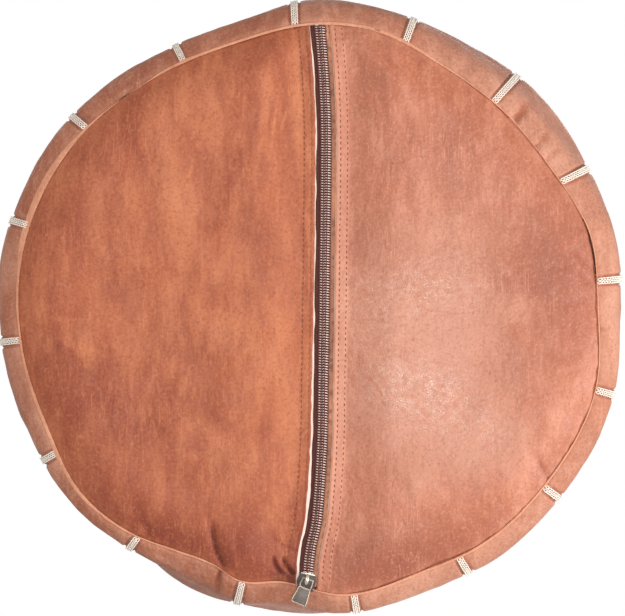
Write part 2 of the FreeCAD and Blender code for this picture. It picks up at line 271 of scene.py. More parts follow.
def zip_measure(x, y):
    """The reverse of zip_place."""
    dx, dy = x - ZIP_CENTRE[0], y - ZIP_CENTRE[1]
    along = (np.arctan2(dy, dx) - ZIP_TILT) * ZIP_R
    return along, np.hypot(dx, dy) - ZIP_R - zip_sway(along)


def open_seam(angle):
    """How far the base seam gapes at an angle in degrees."""
    return bump((np.asarray(angle, float) - 347.5 + 180) % 360 - 180, 5.5)


# Creases pressed into the base: (from x, y, to x, y, width, depth)
CREASES = [
    (-82, 150, -75, 178, 4.5, 1.0),
    (-77, 175, -69, 206, 2.3, 3.2),
    (-66, 180, -58, 206, 5.0, -1.0),
    (-84, 182, -78, 204, 5.0, -0.7),
    (-19.5, 201, -11.4, 213.5, 1.8, 3.8),
    (-28, 199, -22.5, 212, 1.8, 3.0),
    (-24, 203, -17, 212, 2.4, -1.2),
    (-30, 181, -13, 194, 2.1, 1.1),
    (-24, 168, -9, 176, 1.8, 0.6),
    (-20, 212, -10, 222, 4.0, 1.6),
    (62, -206, 71, -194, 2.2, 1.5),
    (214, -47, 232, -30, 2.6, 1.6),
    (217, -32, 229, -18, 2.2, 1.4),
    (184.5, 121, 193.5, 137, 2.1, 2.0),
    (211, 110, 218, 105, 2.0, 1.1),
    (176, 112, 184, 122, 4.0, 0.8),
    (-140, 150, -126, 180, 6.0, 0.9),
    (-206, 22, -226, 12, 2.2, 0.9),
    (96, 150, 128, 168, 1.6, 0.35),
    (84, 158, 120, 180, 1.5, 0.35),
    (74, 168, 104, 192, 1.5, 0.3),
    (-182, 128, -160, 136, 1.6, 0.4),
    (-155, -163, -141, -150, 1.4, -0.8),
    (197, -2, 229, -11, 3.0, 0.9),
    (188, -35, 229, -38, 3.0, 0.5),
    (195, 39, 218, 36, 4.0, 0.9),
    (197, 53, 218, 50, 3.0, 0.6),
]


def crease_depth(x, y, narrow=1.0, least=-9.0):
    """How far the creases of at least a given depth push the leather in."""
    total = 0.0
    for x0, y0, x1, y1, width, depth in CREASES:
        if depth < least:
            continue
        dx, dy = x1 - x0, y1 - y0
        length = hypot(dx, dy)
        t = ((x - x0) * dx + (y - y0) * dy) / length**2
        off = ((x - x0) * dy - (y - y0) * dx) / length
        off = off + 0.05 * length * np.sin(t * 3.6)
        taper = smooth((t + 0.25) / 0.5) * smooth((1.25 - t) / 0.4)
        total = total + depth * bump(off, width * narrow) * taper
    return total


def base_height(x, y, side):
    """How far the base leather stands above the floor."""
    radius, angle = np.hypot(x, y), np.degrees(np.arctan2(y, x))
    rim = seam_radius(angle) - radius
    along, lateral = zip_measure(x, y)
    edge = np.abs(lateral) - OPENING_HALF
    rise = SEAM_Z * np.clip(1 - rim / 36, 0, 1) ** 1.9
    valley = 8.2 * smooth(1 - (edge - 5) / 46)
    z = (rise**3 + valley**3) ** (1 / 3)
    soft = 1.1 * (1 + noise(x / 62, y / 74, seed=3)) + 0.45 * (1 + noise(x / 21, y / 26, seed=5))
    soft = soft + 0.10 * noise(x / 6.5, y / 7.5, seed=7)
    z = z + soft * smooth((edge + 3) / 16)
    cx, cy = circle(angle)
    z = z + 0.75 * noise(cx * 19, cy * 19, radius / 45, seed=11) * bump(rim, 17)
    z = z + 0.9 * bump(rim - 2.5, 4.0) * noise(cx * 38, cy * 38, seed=13)
    z = z + 0.3 * bump(rim, 1.9) + 3.2 * bump(rim - 0.4, 2.0) * open_seam(angle)
    hem = smooth((11.0 - edge) / 2.2) * (0.75 + 0.25 * noise(along / 9, 0.0, seed=19))
    z = z - 0.9 * hem
    pucker = (0.28 if side < 0 else 0.42) * (0.55 + 0.45 * np.cos(along * 2 * pi / STITCH_PITCH))
    for row in STITCH_ROWS:
        z = z + pucker * bump(edge - row, 0.8)
    z = z + (0.32 if side < 0 else 0.12) * hem * noise(along / 5, edge / 6, seed=23)
    if side > 0:
        z = z + 1.3 * np.clip(1 - edge / 1.5, 0, 1) ** 2
    return z + crease_depth(x, y)


def wall_fold(angle, height):
    """How far the folds at the foot of the wall go in."""
    total = 0.0
    for at, depth, width, reach in WALL_FOLDS:
        off = np.radians((angle - at + 180) % 360 - 180) * 245 + 0.1 * height
        total = total + depth * bump(off, width) * (1 - smooth(height / reach))
    return total


def wall_point(angle, t, lift=0.0):
    """A point of the side wall at an angle and a share of the way up, lift millimetres outside it."""
    angle, t = np.broadcast_arrays(np.asarray(angle, float), np.asarray(t, float))
    here, normal = profile_point(WALL_PROFILE, t)
    at_base = (seam_radius(angle) + 1.4 - WALL_PROFILE[0][0]) * (1 - smooth(t / 0.3))
    at_girth = girth_past_round(angle) * smooth(t / 0.3) * (1 - 0.7 * smooth((t - 0.6) / 0.4))
    cx, cy = circle(angle)
    height = t * WALL_RISE
    relief = lift + 1.0 * noise(cx * 5.2, cy * 5.2, height / 48, seed=31)
    relief = relief + 0.35 * layered(cx * 17, cy * 17, height / 17, seed=33, layers=2)
    relief = relief + 1.1 * noise(cx * 24, cy * 24, height / 60, seed=35) * bump(height, 24)
    relief = relief + 1.0 * noise(cx * 26, cy * 26, height / 50, seed=37) * bump(height - WALL_RISE, 26)
    relief = relief + corner(angle) * smooth(t / 0.08)
    relief = relief + swell(angle, t) - wall_fold(angle, height)
    relief = relief - 2.0 * bump(height, 2.6) - 1.6 * bump(height - WALL_RISE, 4)
    relief = relief - 1.8 * bump(height - 6.5, 1.5) * open_seam(angle)
    r = here[..., 0] + at_base + at_girth + normal[..., 0] * relief
    z = here[..., 1] + normal[..., 1] * relief
    return np.stack([r * cx, r * cy, z], axis=-1)


def panel_at(angle):
    """The panel at an angle, and how far the angle is between its two seams, from 0 to 1."""
    seams = np.array(SEAMS + [SEAMS[0] + 360])
    a = (np.asarray(angle, float) - seams[0]) % 360 + seams[0]
    i = np.clip(np.searchsorted(seams, a, side="right") - 1, 0, PANELS - 1)
    return i, (a - seams[i]) / (seams[i + 1] - seams[i])


def seam_share(angle):
    return panel_at(angle)[1]


def spline_weights(f):
    """Cubic B-spline weights of the four points round a share f."""
    return (1 - f) ** 3 / 6, (3 * f**3 - 6 * f**2 + 4) / 6, (-3 * f**3 + 3 * f**2 + 3 * f + 1) / 6, f**3 / 6


def swell(angle, t):
    """How far the cloth run pushes the wall out at an angle and a share of the way up."""
    if WALL_SWELL is None:
        return 0.0
    panel, share = panel_at(angle)
    u, v = (panel + share) * SWELL_COLUMNS, np.clip(t, 0, 1) * (SWELL_RISES - 1)
    i, j = np.floor(u).astype(int), np.floor(v).astype(int)
    total = 0.0
    for a, share_u in enumerate(spline_weights(u - i)):
        for b, share_v in enumerate(spline_weights(v - j)):
            row, column = (i + a - 1) % len(WALL_SWELL), np.clip(j + b - 1, 0, SWELL_RISES - 1)
            total = total + share_u * share_v * WALL_SWELL[row, column]
    return total


def cloth_run(grid, held):
    """Runs a closed ring of leather as cloth with the stuffing's push behind it, and gives its new shape."""
    scene = bpy.context.scene
    mesh = bpy.data.meshes.new("cloth_run")
    faces = grid_faces(*grid.shape[:2], closed=True)
    mesh.from_pydata((grid.reshape(-1, 3) * MM).tolist(), [], faces.tolist())
    run = bpy.data.objects.new("cloth_run", mesh)
    scene.collection.objects.link(run)
    group = run.vertex_groups.new(name="held")
    group.add(np.flatnonzero(held.ravel()).tolist(), 1.0, "REPLACE")
    cloth = run.modifiers.new("cloth", "CLOTH")
    settings = cloth.settings
    settings.quality = 6
    settings.mass = 0.3
    settings.tension_stiffness = settings.compression_stiffness = 18
    settings.shear_stiffness = 8
    settings.bending_stiffness = 1.2
    settings.shrink_min = -0.025
    settings.vertex_group_mass = "held"
    settings.use_pressure = True
    settings.uniform_pressure_force = CLOTH_PRESSURE
    settings.effector_weights.gravity = 0
    cloth.point_cache.frame_start = 1
    cloth.point_cache.frame_end = CLOTH_FRAMES
    for frame_number in range(1, CLOTH_FRAMES + 1):
        scene.frame_set(frame_number)
    shaped = run.evaluated_get(bpy.context.evaluated_depsgraph_get())
    moved = np.array([v.co for v in shaped.data.vertices]).reshape(grid.shape) / MM
    scene.frame_set(1)
    bpy.data.objects.remove(run)
    bpy.data.meshes.remove(mesh)
    return moved


def wall_swell():
    """The cloth run's push on each part of the wall, beyond what all panels share."""
    share = np.arange(SWELL_COLUMNS) / SWELL_COLUMNS
    angle = np.concatenate([low + (high - low) * share for low, high in PANEL_ANGLES])
    grid = wall_point(angle[:, None], np.linspace(0, 1, SWELL_RISES)[None, :])
    held = np.zeros(grid.shape[:2])
    held[::SWELL_COLUMNS] = 1
    held[:, [0, -1]] = 1
    cx, cy = circle(angle[:, None])
    moved = cloth_run(grid, held) - grid
    push = moved[..., 0] * cx + moved[..., 1] * cy
    shared = push.reshape(PANELS, SWELL_COLUMNS, SWELL_RISES).mean(0)
    push = push - 0.85 * np.tile(shared, (PANELS, 1))
    return SWELL_LIMIT * np.tanh(push / SWELL_LIMIT)


def corner(angle):
    """The wall stands out at each stitched seam and is flatter between them."""
    off = np.abs(2 * seam_share(angle) - 1)
    return 2.6 * off**2.2 - 1.1


def top_point(angle, t, lift=0.0):
    """A point of the top, t from 0 at its seam to 1 under the medallion."""
    angle, t = np.broadcast_arrays(np.asarray(angle, float), np.asarray(t, float))
    here, normal = profile_point(TOP_PROFILE, t)
    cx, cy = circle(angle)
    r = here[..., 0]
    share = seam_share(angle)
    plump = 2.6 * (1 - (2 * share - 1) ** 4) * smooth(r / 120) * smooth((1 - t) / 0.1) * smooth(t / 0.06)
    relief = lift + plump + 0.9 * noise(r * cx / 55, r * cy / 55, seed=41)
    relief = relief + 0.3 * layered(r * cx / 15, r * cy / 15, seed=43, layers=2)
    relief = relief + 0.9 * noise(cx * 26, cy * 26, r / 60, seed=45) * bump(t, 0.12)
    relief = relief - 1.8 * bump(t, 0.025)
    r = r + normal[..., 0] * relief + girth_past_round(angle) * 0.3 * smooth(1 - t)
    return np.stack([r * cx, r * cy, here[..., 1] + normal[..., 1] * relief], axis=-1)


# ---------------------------------------------------------------- mesh making

def grid_faces(rows, columns, start=0, flip=False, closed=False):
    """Quads over a rows by columns grid of vertices, closed along the rows if asked."""
    i = np.arange(rows if closed else rows - 1)[:, None]
    j = np.arange(columns - 1)[None, :]
    here, ahead = i * columns, (i + 1) % rows * columns
    quads = np.stack([here + j, ahead + j, ahead + j + 1, here + j + 1], -1).reshape(-1, 4) + start
    return quads[:, ::-1] if flip else quads


def loop_faces(rows, columns):
    """Quads over a rows by columns grid of vertices that closes on itself both ways."""
    i = np.arange(rows)[:, None]
    j = np.arange(columns)[None, :]
    here, ahead, beside = i * columns, (i + 1) % rows * columns, (j + 1) % columns
    return np.stack([here + j, here + beside, ahead + beside, ahead + j], -1).reshape(-1, 4)


def surface_normals(grid):
    along = np.gradient(grid, axis=0)
    across = np.gradient(grid, axis=1)
    normal = np.cross(along, across)
    return normal / (np.linalg.norm(normal, axis=-1, keepdims=True) + 1e-12)


def make_object(name, verts, faces, body, material, attributes=None):
    mesh = bpy.data.meshes.new(name)
    mesh.from_pydata((np.asarray(verts, float) * MM).tolist(), [], [list(map(int, f)) for f in faces])
    mesh.validate()
    mesh.update()
    for key, values in (attributes or {}).items():
        mesh.attributes.new(key, "FLOAT", "POINT").data.foreach_set("value", np.asarray(values, np.float32))
    mesh.polygons.foreach_set("use_smooth", [True] * len(mesh.polygons))
    mesh.materials.append(material)
    piece = bpy.data.objects.new(name, mesh)
    bpy.context.scene.collection.objects.link(piece)
    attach(piece, body)
    return piece


def sheet_piece(name, outer, thickness, inward, body, material, attributes):
    """A closed sheet of leather: the outer grid, a copy set in by its thickness, and the rims between."""
    rows, columns = outer.shape[:2]
    normal = surface_normals(outer)
    flip = bool(np.sum(normal * inward) >= 0)
    if not flip:
        normal = -normal
    inner = outer + normal * thickness
    count = rows * columns
    verts = np.concatenate([outer.reshape(-1, 3), inner.reshape(-1, 3)])
    faces = [grid_faces(rows, columns, 0, flip), grid_faces(rows, columns, count, not flip)]
    index = np.arange(count).reshape(rows, columns)
    border = np.concatenate([index[:, 0], index[-1, 1:], index[-2::-1, -1], index[0, -2:0:-1]])
    after = np.roll(border, -1)
    rim = np.stack([border, border + count, after + count, after], -1)
    faces.append(rim if flip else rim[:, ::-1])
    doubled = {k: np.tile(np.ravel(v), 2) for k, v in attributes.items()}
    return make_object(name, verts, np.concatenate(faces), body, material, doubled)


def strands(paths, ups, radius, sides=5):
    """Closed tubes along many paths of the same length. ups point away from the surface under them."""
    paths, ups = np.asarray(paths, float), np.asarray(ups, float)
    count, points = paths.shape[:2]
    along = np.gradient(paths, axis=1)
    along /= np.linalg.norm(along, axis=-1, keepdims=True) + 1e-12
    across = np.cross(along, ups)
    across /= np.linalg.norm(across, axis=-1, keepdims=True) + 1e-12
    up = np.cross(across, along)
    turn = np.arange(sides) * 2 * pi / sides
    radius = np.broadcast_to(np.asarray(radius, float), (count, points))[..., None, None]
    ring = across[:, :, None] * np.cos(turn)[:, None] + up[:, :, None] * np.sin(turn)[:, None]
    verts = (paths[:, :, None] + radius * ring).reshape(-1, 3)
    i = np.arange(points - 1)[:, None]
    j = np.arange(sides)[None, :]
    k = (j + 1) % sides
    quads = np.stack([i * sides + j, i * sides + k, (i + 1) * sides + k, (i + 1) * sides + j], -1)
    starts = np.arange(count)[:, None, None] * points * sides
    faces = [list(f) for f in (quads.reshape(1, -1, 4) + starts).reshape(-1, 4)]
    for s in range(count):
        first = s * points * sides
        last = first + (points - 1) * sides
        faces.append([first + n for n in range(sides)][::-1])
        faces.append([last + n for n in range(sides)])
    return verts, faces


def ring_tube(path, ups, section):
    """A closed ring swept along a closed path. section holds (out, up) pairs for each path point."""
    along = np.roll(path, -1, axis=0) - np.roll(path, 1, axis=0)
    along /= np.linalg.norm(along, axis=-1, keepdims=True)
    out = np.cross(along, ups)
    verts = path[:, None] + out[:, None] * section[..., :1] + ups[:, None] * section[..., 1:]
    return verts.reshape(-1, 3), loop_faces(*section.shape[:2])


# ---------------------------------------------------------------- materials

def srgb(*colour):
    linear = [(c / 255) / 12.92 if c <= 10 else ((c / 255 + 0.055) / 1.055) ** 2.4 for c in colour]
    return (*linear, 1.0)


class Shader:
    """Builds one material's nodes."""

    def __init__(self, name):
        self.material = bpy.data.materials.new(name)
        self.material.use_nodes = True
        self.tree = self.material.node_tree
        self.tree.nodes.clear()
        self.output = self.tree.nodes.new("ShaderNodeOutputMaterial")
        self.where = self.node("TexCoord").outputs["Object"]

    def node(self, kind, inputs=None, **settings):
        made = self.tree.nodes.new("ShaderNode" + kind)
        for key, value in settings.items():
            setattr(made, key, value)
        for key, value in (inputs or {}).items():
            if isinstance(value, bpy.types.NodeSocket):
                self.tree.links.new(value, made.inputs[key])
            else:
                made.inputs[key].default_value = value
        return made

    def math(self, operation, a, b=0.0, clamp=False):
        return self.node("Math", {0: a, 1: b}, operation=operation, use_clamp=clamp).outputs[0]

    def times(self, a, b):
        return self.math("MULTIPLY", a, b)

    def stretched(self, scale, turn=0.0):
        inputs = {"Vector": self.where, "Scale": scale, "Rotation": (0, 0, turn)}
        return self.node("Mapping", inputs).outputs[0]

    def noise(self, scale, detail=4.0, roughness=0.5, where=None, distortion=0.0):
        inputs = {"Vector": where or self.where, "Scale": scale, "Detail": detail, "Roughness": roughness,
                  "Distortion": distortion}
        return self.node("TexNoise", inputs).outputs["Fac"]

    def cells(self, scale):
        return self.node("TexVoronoi", {"Vector": self.where, "Scale": scale}).outputs["Distance"]

    def ribs(self, direction, inputs):
        inputs = {"Vector": self.where, **inputs}
        return self.node("TexWave", inputs, bands_direction=direction).outputs["Fac"]

    def between(self, value, low, high, to_low=0.0, to_high=1.0):
        inputs = {"Value": value, "From Min": low, "From Max": high, "To Min": to_low, "To Max": to_high}
        return self.node("MapRange", inputs, interpolation_type="SMOOTHSTEP").outputs[0]

    def mix(self, share, first, second, blend="MIX"):
        made = self.node("Mix", data_type="RGBA", blend_type=blend)
        for socket, value in ((made.inputs[0], share), (made.inputs[6], first), (made.inputs[7], second)):
            if isinstance(value, bpy.types.NodeSocket):
                self.tree.links.new(value, socket)
            else:
                socket.default_value = value
        return made.outputs[2]

    def tint(self, colour, toward, source, low, high, amount):
        """Takes a colour by an amount towards another as source goes from low to high."""
        return self.mix(self.between(source, low, high, 0.0, amount), colour, toward)

    def attribute(self, name):
        return self.node("Attribute", attribute_name=name).outputs["Fac"]

    def bumps(self, layers):
        """Stacks bump layers, each (height socket, depth in millimetres)."""
        normal = None
        for height, depth in layers:
            inputs = {"Height": height, "Distance": depth * MM, "Strength": 1.0}
            if normal is not None:
                inputs["Normal"] = normal
            normal = self.node("Bump", inputs).outputs[0]
        return normal

    def finish(self, **inputs):
        named = {k.replace("_", " "): v for k, v in inputs.items()}
        surface = self.node("BsdfPrincipled", named)
        self.tree.links.new(surface.outputs[0], self.output.inputs["Surface"])
        return self.material


def leather(name, main, light, dark, streak=0.5, grain=(1.0, 0.25), rough=(0.5, 0.68), streak_turn=0.0,
            pale=None, raw_edge_and_highlight=None):
    """Brushed, hand-dyed goat leather: broad mottling, brush streaks, pores and fine creases."""
    s = Shader(name)
    wide = s.between(s.noise(9, 5, 0.55), 0.32, 0.7)
    cloud = s.between(s.noise(30, 6, 0.62, distortion=0.4), 0.38, 0.66)
    lines = s.noise(1.0, 6, 0.65, where=s.stretched((150 * grain[1], 150 * 0.09, 60), streak_turn))
    lines = s.between(lines, 0.44, 0.66)
    brush = s.noise(1.0, 5, 0.7, where=s.stretched((330, 52, 120), streak_turn), distortion=0.3)
    strokes = s.between(brush, 0.5, 0.7)
    hollows = s.between(brush, 0.48, 0.3)
    mottle = s.noise(430, 4, 0.7)
    blotch = s.noise(1.0, 4, 0.6, where=s.stretched((105, 30, 60), streak_turn), distortion=0.5)
    broad = s.noise(1.0, 3, 0.5, where=s.stretched((34, 15, 20), streak_turn), distortion=0.5)
    colour = s.mix(s.times(wide, 0.6), main, dark)
    colour = s.mix(s.times(cloud, 0.5), colour, main)
    colour = s.tint(colour, light, broad, 0.5, 0.7, 0.5)
    colour = s.tint(colour, dark, broad, 0.5, 0.3, 0.45)
    colour = s.tint(colour, light, blotch, 0.52, 0.7, 0.35)
    colour = s.tint(colour, dark, blotch, 0.5, 0.3, 0.4)
    colour = s.mix(s.times(lines, streak * 0.6), colour, light)
    # The tone attribute holds dye differences and also painted light and shade: darker in creases, folds and
    # seam grooves, lighter where light would fall.
    tone = s.attribute("tone")
    reverse = s.times(tone, -1.0)
    colour = s.mix(s.math("MAXIMUM", tone, 0.0, True), colour, pale or light)
    colour = s.mix(s.math("MAXIMUM", reverse, 0.0, True), colour, dark)
    # Below -1 the tone goes on to a near-black brown: painted shade in the deepest creases, the gaping seam
    # and the seam outlines.
    colour = s.mix(s.math("SUBTRACT", reverse, 1.0, True), colour, srgb(88, 36, 30))
    patchy = s.between(s.noise(22, 3), 0.38, 0.62, 0.35, 1.0)
    colour = s.mix(s.times(strokes, s.times(patchy, streak * 0.7)), colour, light)
    colour = s.mix(s.times(hollows, s.times(patchy, 0.3)), colour, dark)
    vein = s.noise(1.0, 3, 0.6, where=s.stretched((170, 11, 40), streak_turn + 0.14), distortion=0.25)
    vein = s.between(s.math("ABSOLUTE", s.math("SUBTRACT", vein, 0.5)), 0.0, 0.016, 1.0, 0.0)
    vein = s.times(vein, s.between(s.noise(19, 2), 0.5, 0.62))
    colour = s.mix(s.times(vein, 0.5), colour, light)
    colour = s.tint(colour, light, mottle, 0.5, 0.72, 0.42)
    colour = s.tint(colour, dark, mottle, 0.5, 0.3, 0.5)
    speck = s.times(s.between(s.cells(420), 0.0, 0.16, 1.0, 0.0), s.between(s.noise(60, 2), 0.5, 0.66))
    colour = s.mix(s.times(speck, 0.15), colour, dark)
    colour = s.mix(s.times(s.attribute("wear"), 0.6), colour, light)
    if pale:
        # Painted highlights: pale glinting flecks where the right half's polish would catch the light.
        glint_flecks = s.times(s.between(s.noise(1300, 3, 0.7), 0.47, 0.66), s.between(s.noise(210, 3), 0.3, 0.7))
        colour = s.mix(s.times(s.attribute("painted_glints"), glint_flecks), colour, srgb(252, 232, 218))
    # The pale core of the left base's unfolded edge, and a painted highlight along the right base's folded
    # edge.
    if raw_edge_and_highlight:
        colour = s.mix(s.attribute("raw_edge_and_highlight"), colour, raw_edge_and_highlight)
    pores = s.between(s.cells(900), 0.0, 0.45)
    wrinkles = s.noise(210, 5, 0.6, where=s.stretched((1.0, 0.55, 1.0), streak_turn), distortion=0.8)
    creases = s.noise(75, 4, 0.55, distortion=1.2)
    normal = s.bumps([(creases, 0.9 * grain[0]), (wrinkles, 0.55 * grain[0]), (pores, 0.08 * grain[0])])
    shine = s.between(s.noise(38, 4, 0.6), 0.3, 0.7, rough[0], rough[1])
    return s.finish(Base_Color=colour, Roughness=shine, Normal=normal, Specular_IOR_Level=0.34,
                    Sheen_Weight=0.05, Sheen_Roughness=0.5)


def thread(name, main, light, dark):
    """Twisted cotton thread: plies, fuzz and a little dirt in the hollows."""
    s = Shader(name)
    plies = s.noise(5200, 2, 0.6)
    dirt = s.between(s.noise(90, 4, 0.6), 0.35, 0.75)
    colour = s.mix(s.between(plies, 0.35, 0.65), dark, light)
    colour = s.mix(s.times(dirt, 0.5), colour, main)
    normal = s.bumps([(plies, 0.12)])
    return s.finish(Base_Color=colour, Roughness=0.82, Normal=normal, Sheen_Weight=0.35, Sheen_Roughness=0.4)


def tape_cloth(name, main, light, painted_sheen):
    """Woven polyester tape: fine twill ribs, and a painted sheen that makes it paler where its attribute says
    so.
    """
    s = Shader(name)
    twill = s.ribs("DIAGONAL", {"Scale": 420.0, "Distortion": 0.6, "Detail": 2.0, "Detail Scale": 3.0})
    colour = s.mix(s.attribute("painted_sheen"), main, painted_sheen)
    colour = s.mix(s.times(twill, 0.3), colour, light)
    colour = s.tint(colour, main, s.noise(240, 4), 0.45, 0.7, 0.5)
    return s.finish(Base_Color=colour, Roughness=0.75, Normal=s.bumps([(twill, 0.12)]))


def nylon(name, hollow, painted_crest_highlight):
    """Nylon coil, dark in its hollows, with a painted highlight on the crests of the turns that face down."""
    s = Shader(name)
    streaks = s.noise(500, 3, 0.5)
    share = s.times(s.attribute("painted_crest_highlight"), s.between(streaks, 0.25, 0.6, 0.7, 1.0))
    return s.finish(Base_Color=s.mix(share, hollow, painted_crest_highlight), Roughness=s.between(streaks, 0.3, 0.7, 0.2, 0.38),
                    Normal=s.bumps([(streaks, 0.03)]), Coat_Weight=0.25, Coat_Roughness=0.2)


def antique_metal(name, main, worn):
    """Dark lacquered brass, worn bright on its edges, and brightened where hands wear it and where a painted
    highlight is asked for.
    """
    s = Shader(name)
    blotches = s.between(s.noise(260, 5, 0.65), 0.42, 0.66)
    # Worn brass and painted highlights both go to the bright colour.
    handled_and_highlit = s.math("ADD", s.times(s.attribute("wear"), 0.04), s.attribute("polish_and_highlight"), True)
    rubbed_and_highlit = s.math("ADD", handled_and_highlit, s.times(blotches, 0.03), True)
    scratches = s.noise(1.0, 4, 0.7, where=s.stretched((3000, 260, 900), 0.5))
    return s.finish(Base_Color=s.mix(rubbed_and_highlit, main, worn), Metallic=s.between(rubbed_and_highlit, 0.1, 0.7, 0.0, 0.85),
                    Roughness=s.between(rubbed_and_highlit, 0.0, 1.0, 0.45, 0.24), Normal=s.bumps([(scratches, 0.02)]))


def plain_cloth(name, main, light, scale=900.0):
    """Plain-woven cotton."""
    s = Shader(name)
    warp, weft = (s.ribs(direction, {"Scale": scale, "Distortion": 0.8}) for direction in "XZ")
    weave = s.times(warp, weft)
    colour = s.mix(weave, main, light)
    colour = s.mix(s.times(s.noise(20, 4), 0.3), colour, main)
    return s.finish(Base_Color=colour, Roughness=0.9, Normal=s.bumps([(weave, 0.2)]), Sheen_Weight=0.3)


M_LEFT = leather("leather_base_left", srgb(177, 96, 63), srgb(208, 129, 88), srgb(136, 62, 43), 0.55,
                 (1.0, 0.28), raw_edge_and_highlight=srgb(246, 220, 206))
# Its last colour is the painted highlight along the folded edge beside the zip.
M_RIGHT = leather("leather_base_right", srgb(188, 112, 82), srgb(222, 154, 126), srgb(158, 90, 68), 0.35,
                  (1.0, 0.12), (0.38, 0.54), 1.45, pale=srgb(204, 142, 118), raw_edge_and_highlight=srgb(246, 212, 190))
M_SIDE = leather("leather_side", srgb(182, 112, 83), srgb(218, 160, 134), srgb(148, 80, 56), 0.3, (1.1, 0.16),
                 (0.6, 0.75))
M_TOP = leather("leather_top", srgb(188, 108, 74), srgb(216, 140, 102), srgb(146, 72, 48), 0.4, (1.1, 0.16))
M_WELT = leather("leather_welt", srgb(208, 138, 104), srgb(232, 168, 134), srgb(170, 100, 72), 0.3,
                 (0.8, 0.2))
M_THREAD = thread("cotton_thread_cream", srgb(254, 244, 230), srgb(255, 252, 244), srgb(236, 216, 194))
M_STITCH = thread("waxed_thread_brown", srgb(122, 56, 40), srgb(150, 80, 58), srgb(92, 38, 28))
# Its third colour is the painted sheen of the tape on the +X side.
M_TAPE = tape_cloth("zip_tape_cloth", srgb(84, 34, 28), srgb(134, 84, 66), srgb(252, 176, 136))
# The second colour is a painted highlight on the coil's crests.
M_COIL = nylon("zip_coil_nylon", srgb(92, 36, 30), srgb(255, 224, 210))
M_SEWING = thread("zip_sewing_thread", srgb(96, 38, 30), srgb(120, 56, 46), srgb(70, 24, 20))
M_METAL = antique_metal("antique_brass", srgb(44, 29, 24), srgb(236, 220, 202))
M_BAG = plain_cloth("bag_cotton", srgb(206, 194, 170), srgb(234, 226, 206))
M_STUFFING = plain_cloth("stuffing_textile", srgb(196, 186, 170), srgb(226, 220, 208), 300.0)


# ---------------------------------------------------------------- leather pieces

# Patches where the leather is lighter (+) or darker (-): (x, y, long, wide, turn, amount). Most are
# hand-applied dye; the broad pale patches mid-right are lighter dye with painted sheen on them, and the dark
# patch beside the slider is a painted shadow under a fold
TONE_PATCHES = [
    (-108, -104, 44, 8, 84, 0.55),
    (-98, -60, 60, 7, 88, 0.35),
    (-8, -170, 70, 7, 88, 0.60),
    (-18, 80, 55, 8, 86, 0.45),
    (-54, -30, 70, 10, 80, 0.25),
    (-20, -40, 90, 16, 88, 0.22),
    (-180, 60, 50, 34, 40, -0.40),
    (-120, 185, 60, 26, 20, -0.80),
    (-150, 112, 60, 50, 40, -0.35),
    (60, 204, 70, 26, 165, -0.75),
    (-40, -215, 60, 16, 0, -0.30),
    (-40, 196, 46, 30, 10, -0.75),
    (-130, 20, 60, 50, 90, 0.15),
    (-180, -80, 60, 36, 100, -0.20),
    (-60, -190, 60, 16, 170, -0.15),
    (-91, 118, 6, 5, 0, 0.45),
    (-182, 102, 2.0, 2.0, 0, 0.95),
    (-69, 142, 1.2, 1.2, 0, 0.90),
    (-228, 13, 3.0, 2.0, 0, 0.60),
    (-200, 8, 12, 3, 10, 0.35),
    (-186, 30, 18, 5, 20, 0.35),
    (-200, 30, 3.5, 3.5, 0, -0.60),
    # Painted shadow under the fold beside the slider
    (-16, 217, 12, 8, 0, -1.3),
    # Painted sheen over lighter dye: this patch and the next
    (110, 14, 90, 80, 100, 0.90),
    (74, 54, 44, 22, 160, 0.25),
    (95, 110, 70, 30, 20, 0.50),
    (150, 110, 50, 22, 30, 0.30),
    (198, -24, 66, 38, 90, -1.05),
    (196, 128, 10, 8, 30, -0.45),
    (-27, -148, 21, 0.9, 98, 0.90),
    (-38, -128, 10, 0.9, 102, 0.70),
    (-116, -157, 14, 1.1, 103, 0.60),
    (-94, -111, 14, 1.3, 103, 0.60),
    (-60, -174, 6, 0.9, 100, 0.70),
    (-57, -87, 20, 1.6, 94, 0.50),
    (-19, -153, 9, 1.1, 104, 0.60),
    (-41, -150, 14, 2.2, 100, -0.60),
    (-63.5, -101, 16, 3.2, 100, -0.50),
    (111, 3, 5, 1.2, 160, -0.70),
    (113, 6.5, 4, 1.0, 150, -0.50),
    (113.5, -9.4, 1.6, 1.4, 0, 0.90),
    (127, -14.5, 2.4, 1.9, 0, 0.60),
    (80, 41, 1.4, 1.3, 0, -0.80),
    (110, 190, 90, 24, 150, -0.35),
    (40, 200, 40, 24, 20, -0.20),
]

# Painted highlights on the right half: pale flecks where its polish would catch the light: (x, y, long, wide,
# amount)
PAINTED_GLINT_SPOTS = [(90, 66, 40, 26, 1.0), (100, -18, 42, 24, 0.65), (52, 12, 26, 40, 0.35), (140, 96, 40, 22, 0.3)]


def patches(x, y):
    total = np.zeros_like(x)
    for px, py, long, wide, turn, amount in TONE_PATCHES:
        c, s = cos(radians(turn)), sin(radians(turn))
        u, v = (x - px) * c + (y - py) * s, -(x - px) * s + (y - py) * c
        v = v + 0.25 * wide * noise(u / 14, v / 30, seed=51)
        total = total + amount * np.exp(-((u / long) ** 2) - (v / wide) ** 2)
    return total


def zip_edge_end(side, toward):
    """The arc length at which the leather's edge beside the zip meets the base seam."""
    low, high = 0.0, 260.0 * toward
    for _ in range(40):
        middle = (low + high) / 2
        x, y = zip_place(middle, side * OPENING_HALF)
        if hypot(x, y) < seam_radius(degrees(atan2(y, x))):
            low = middle
        else:
            high = middle
    return low


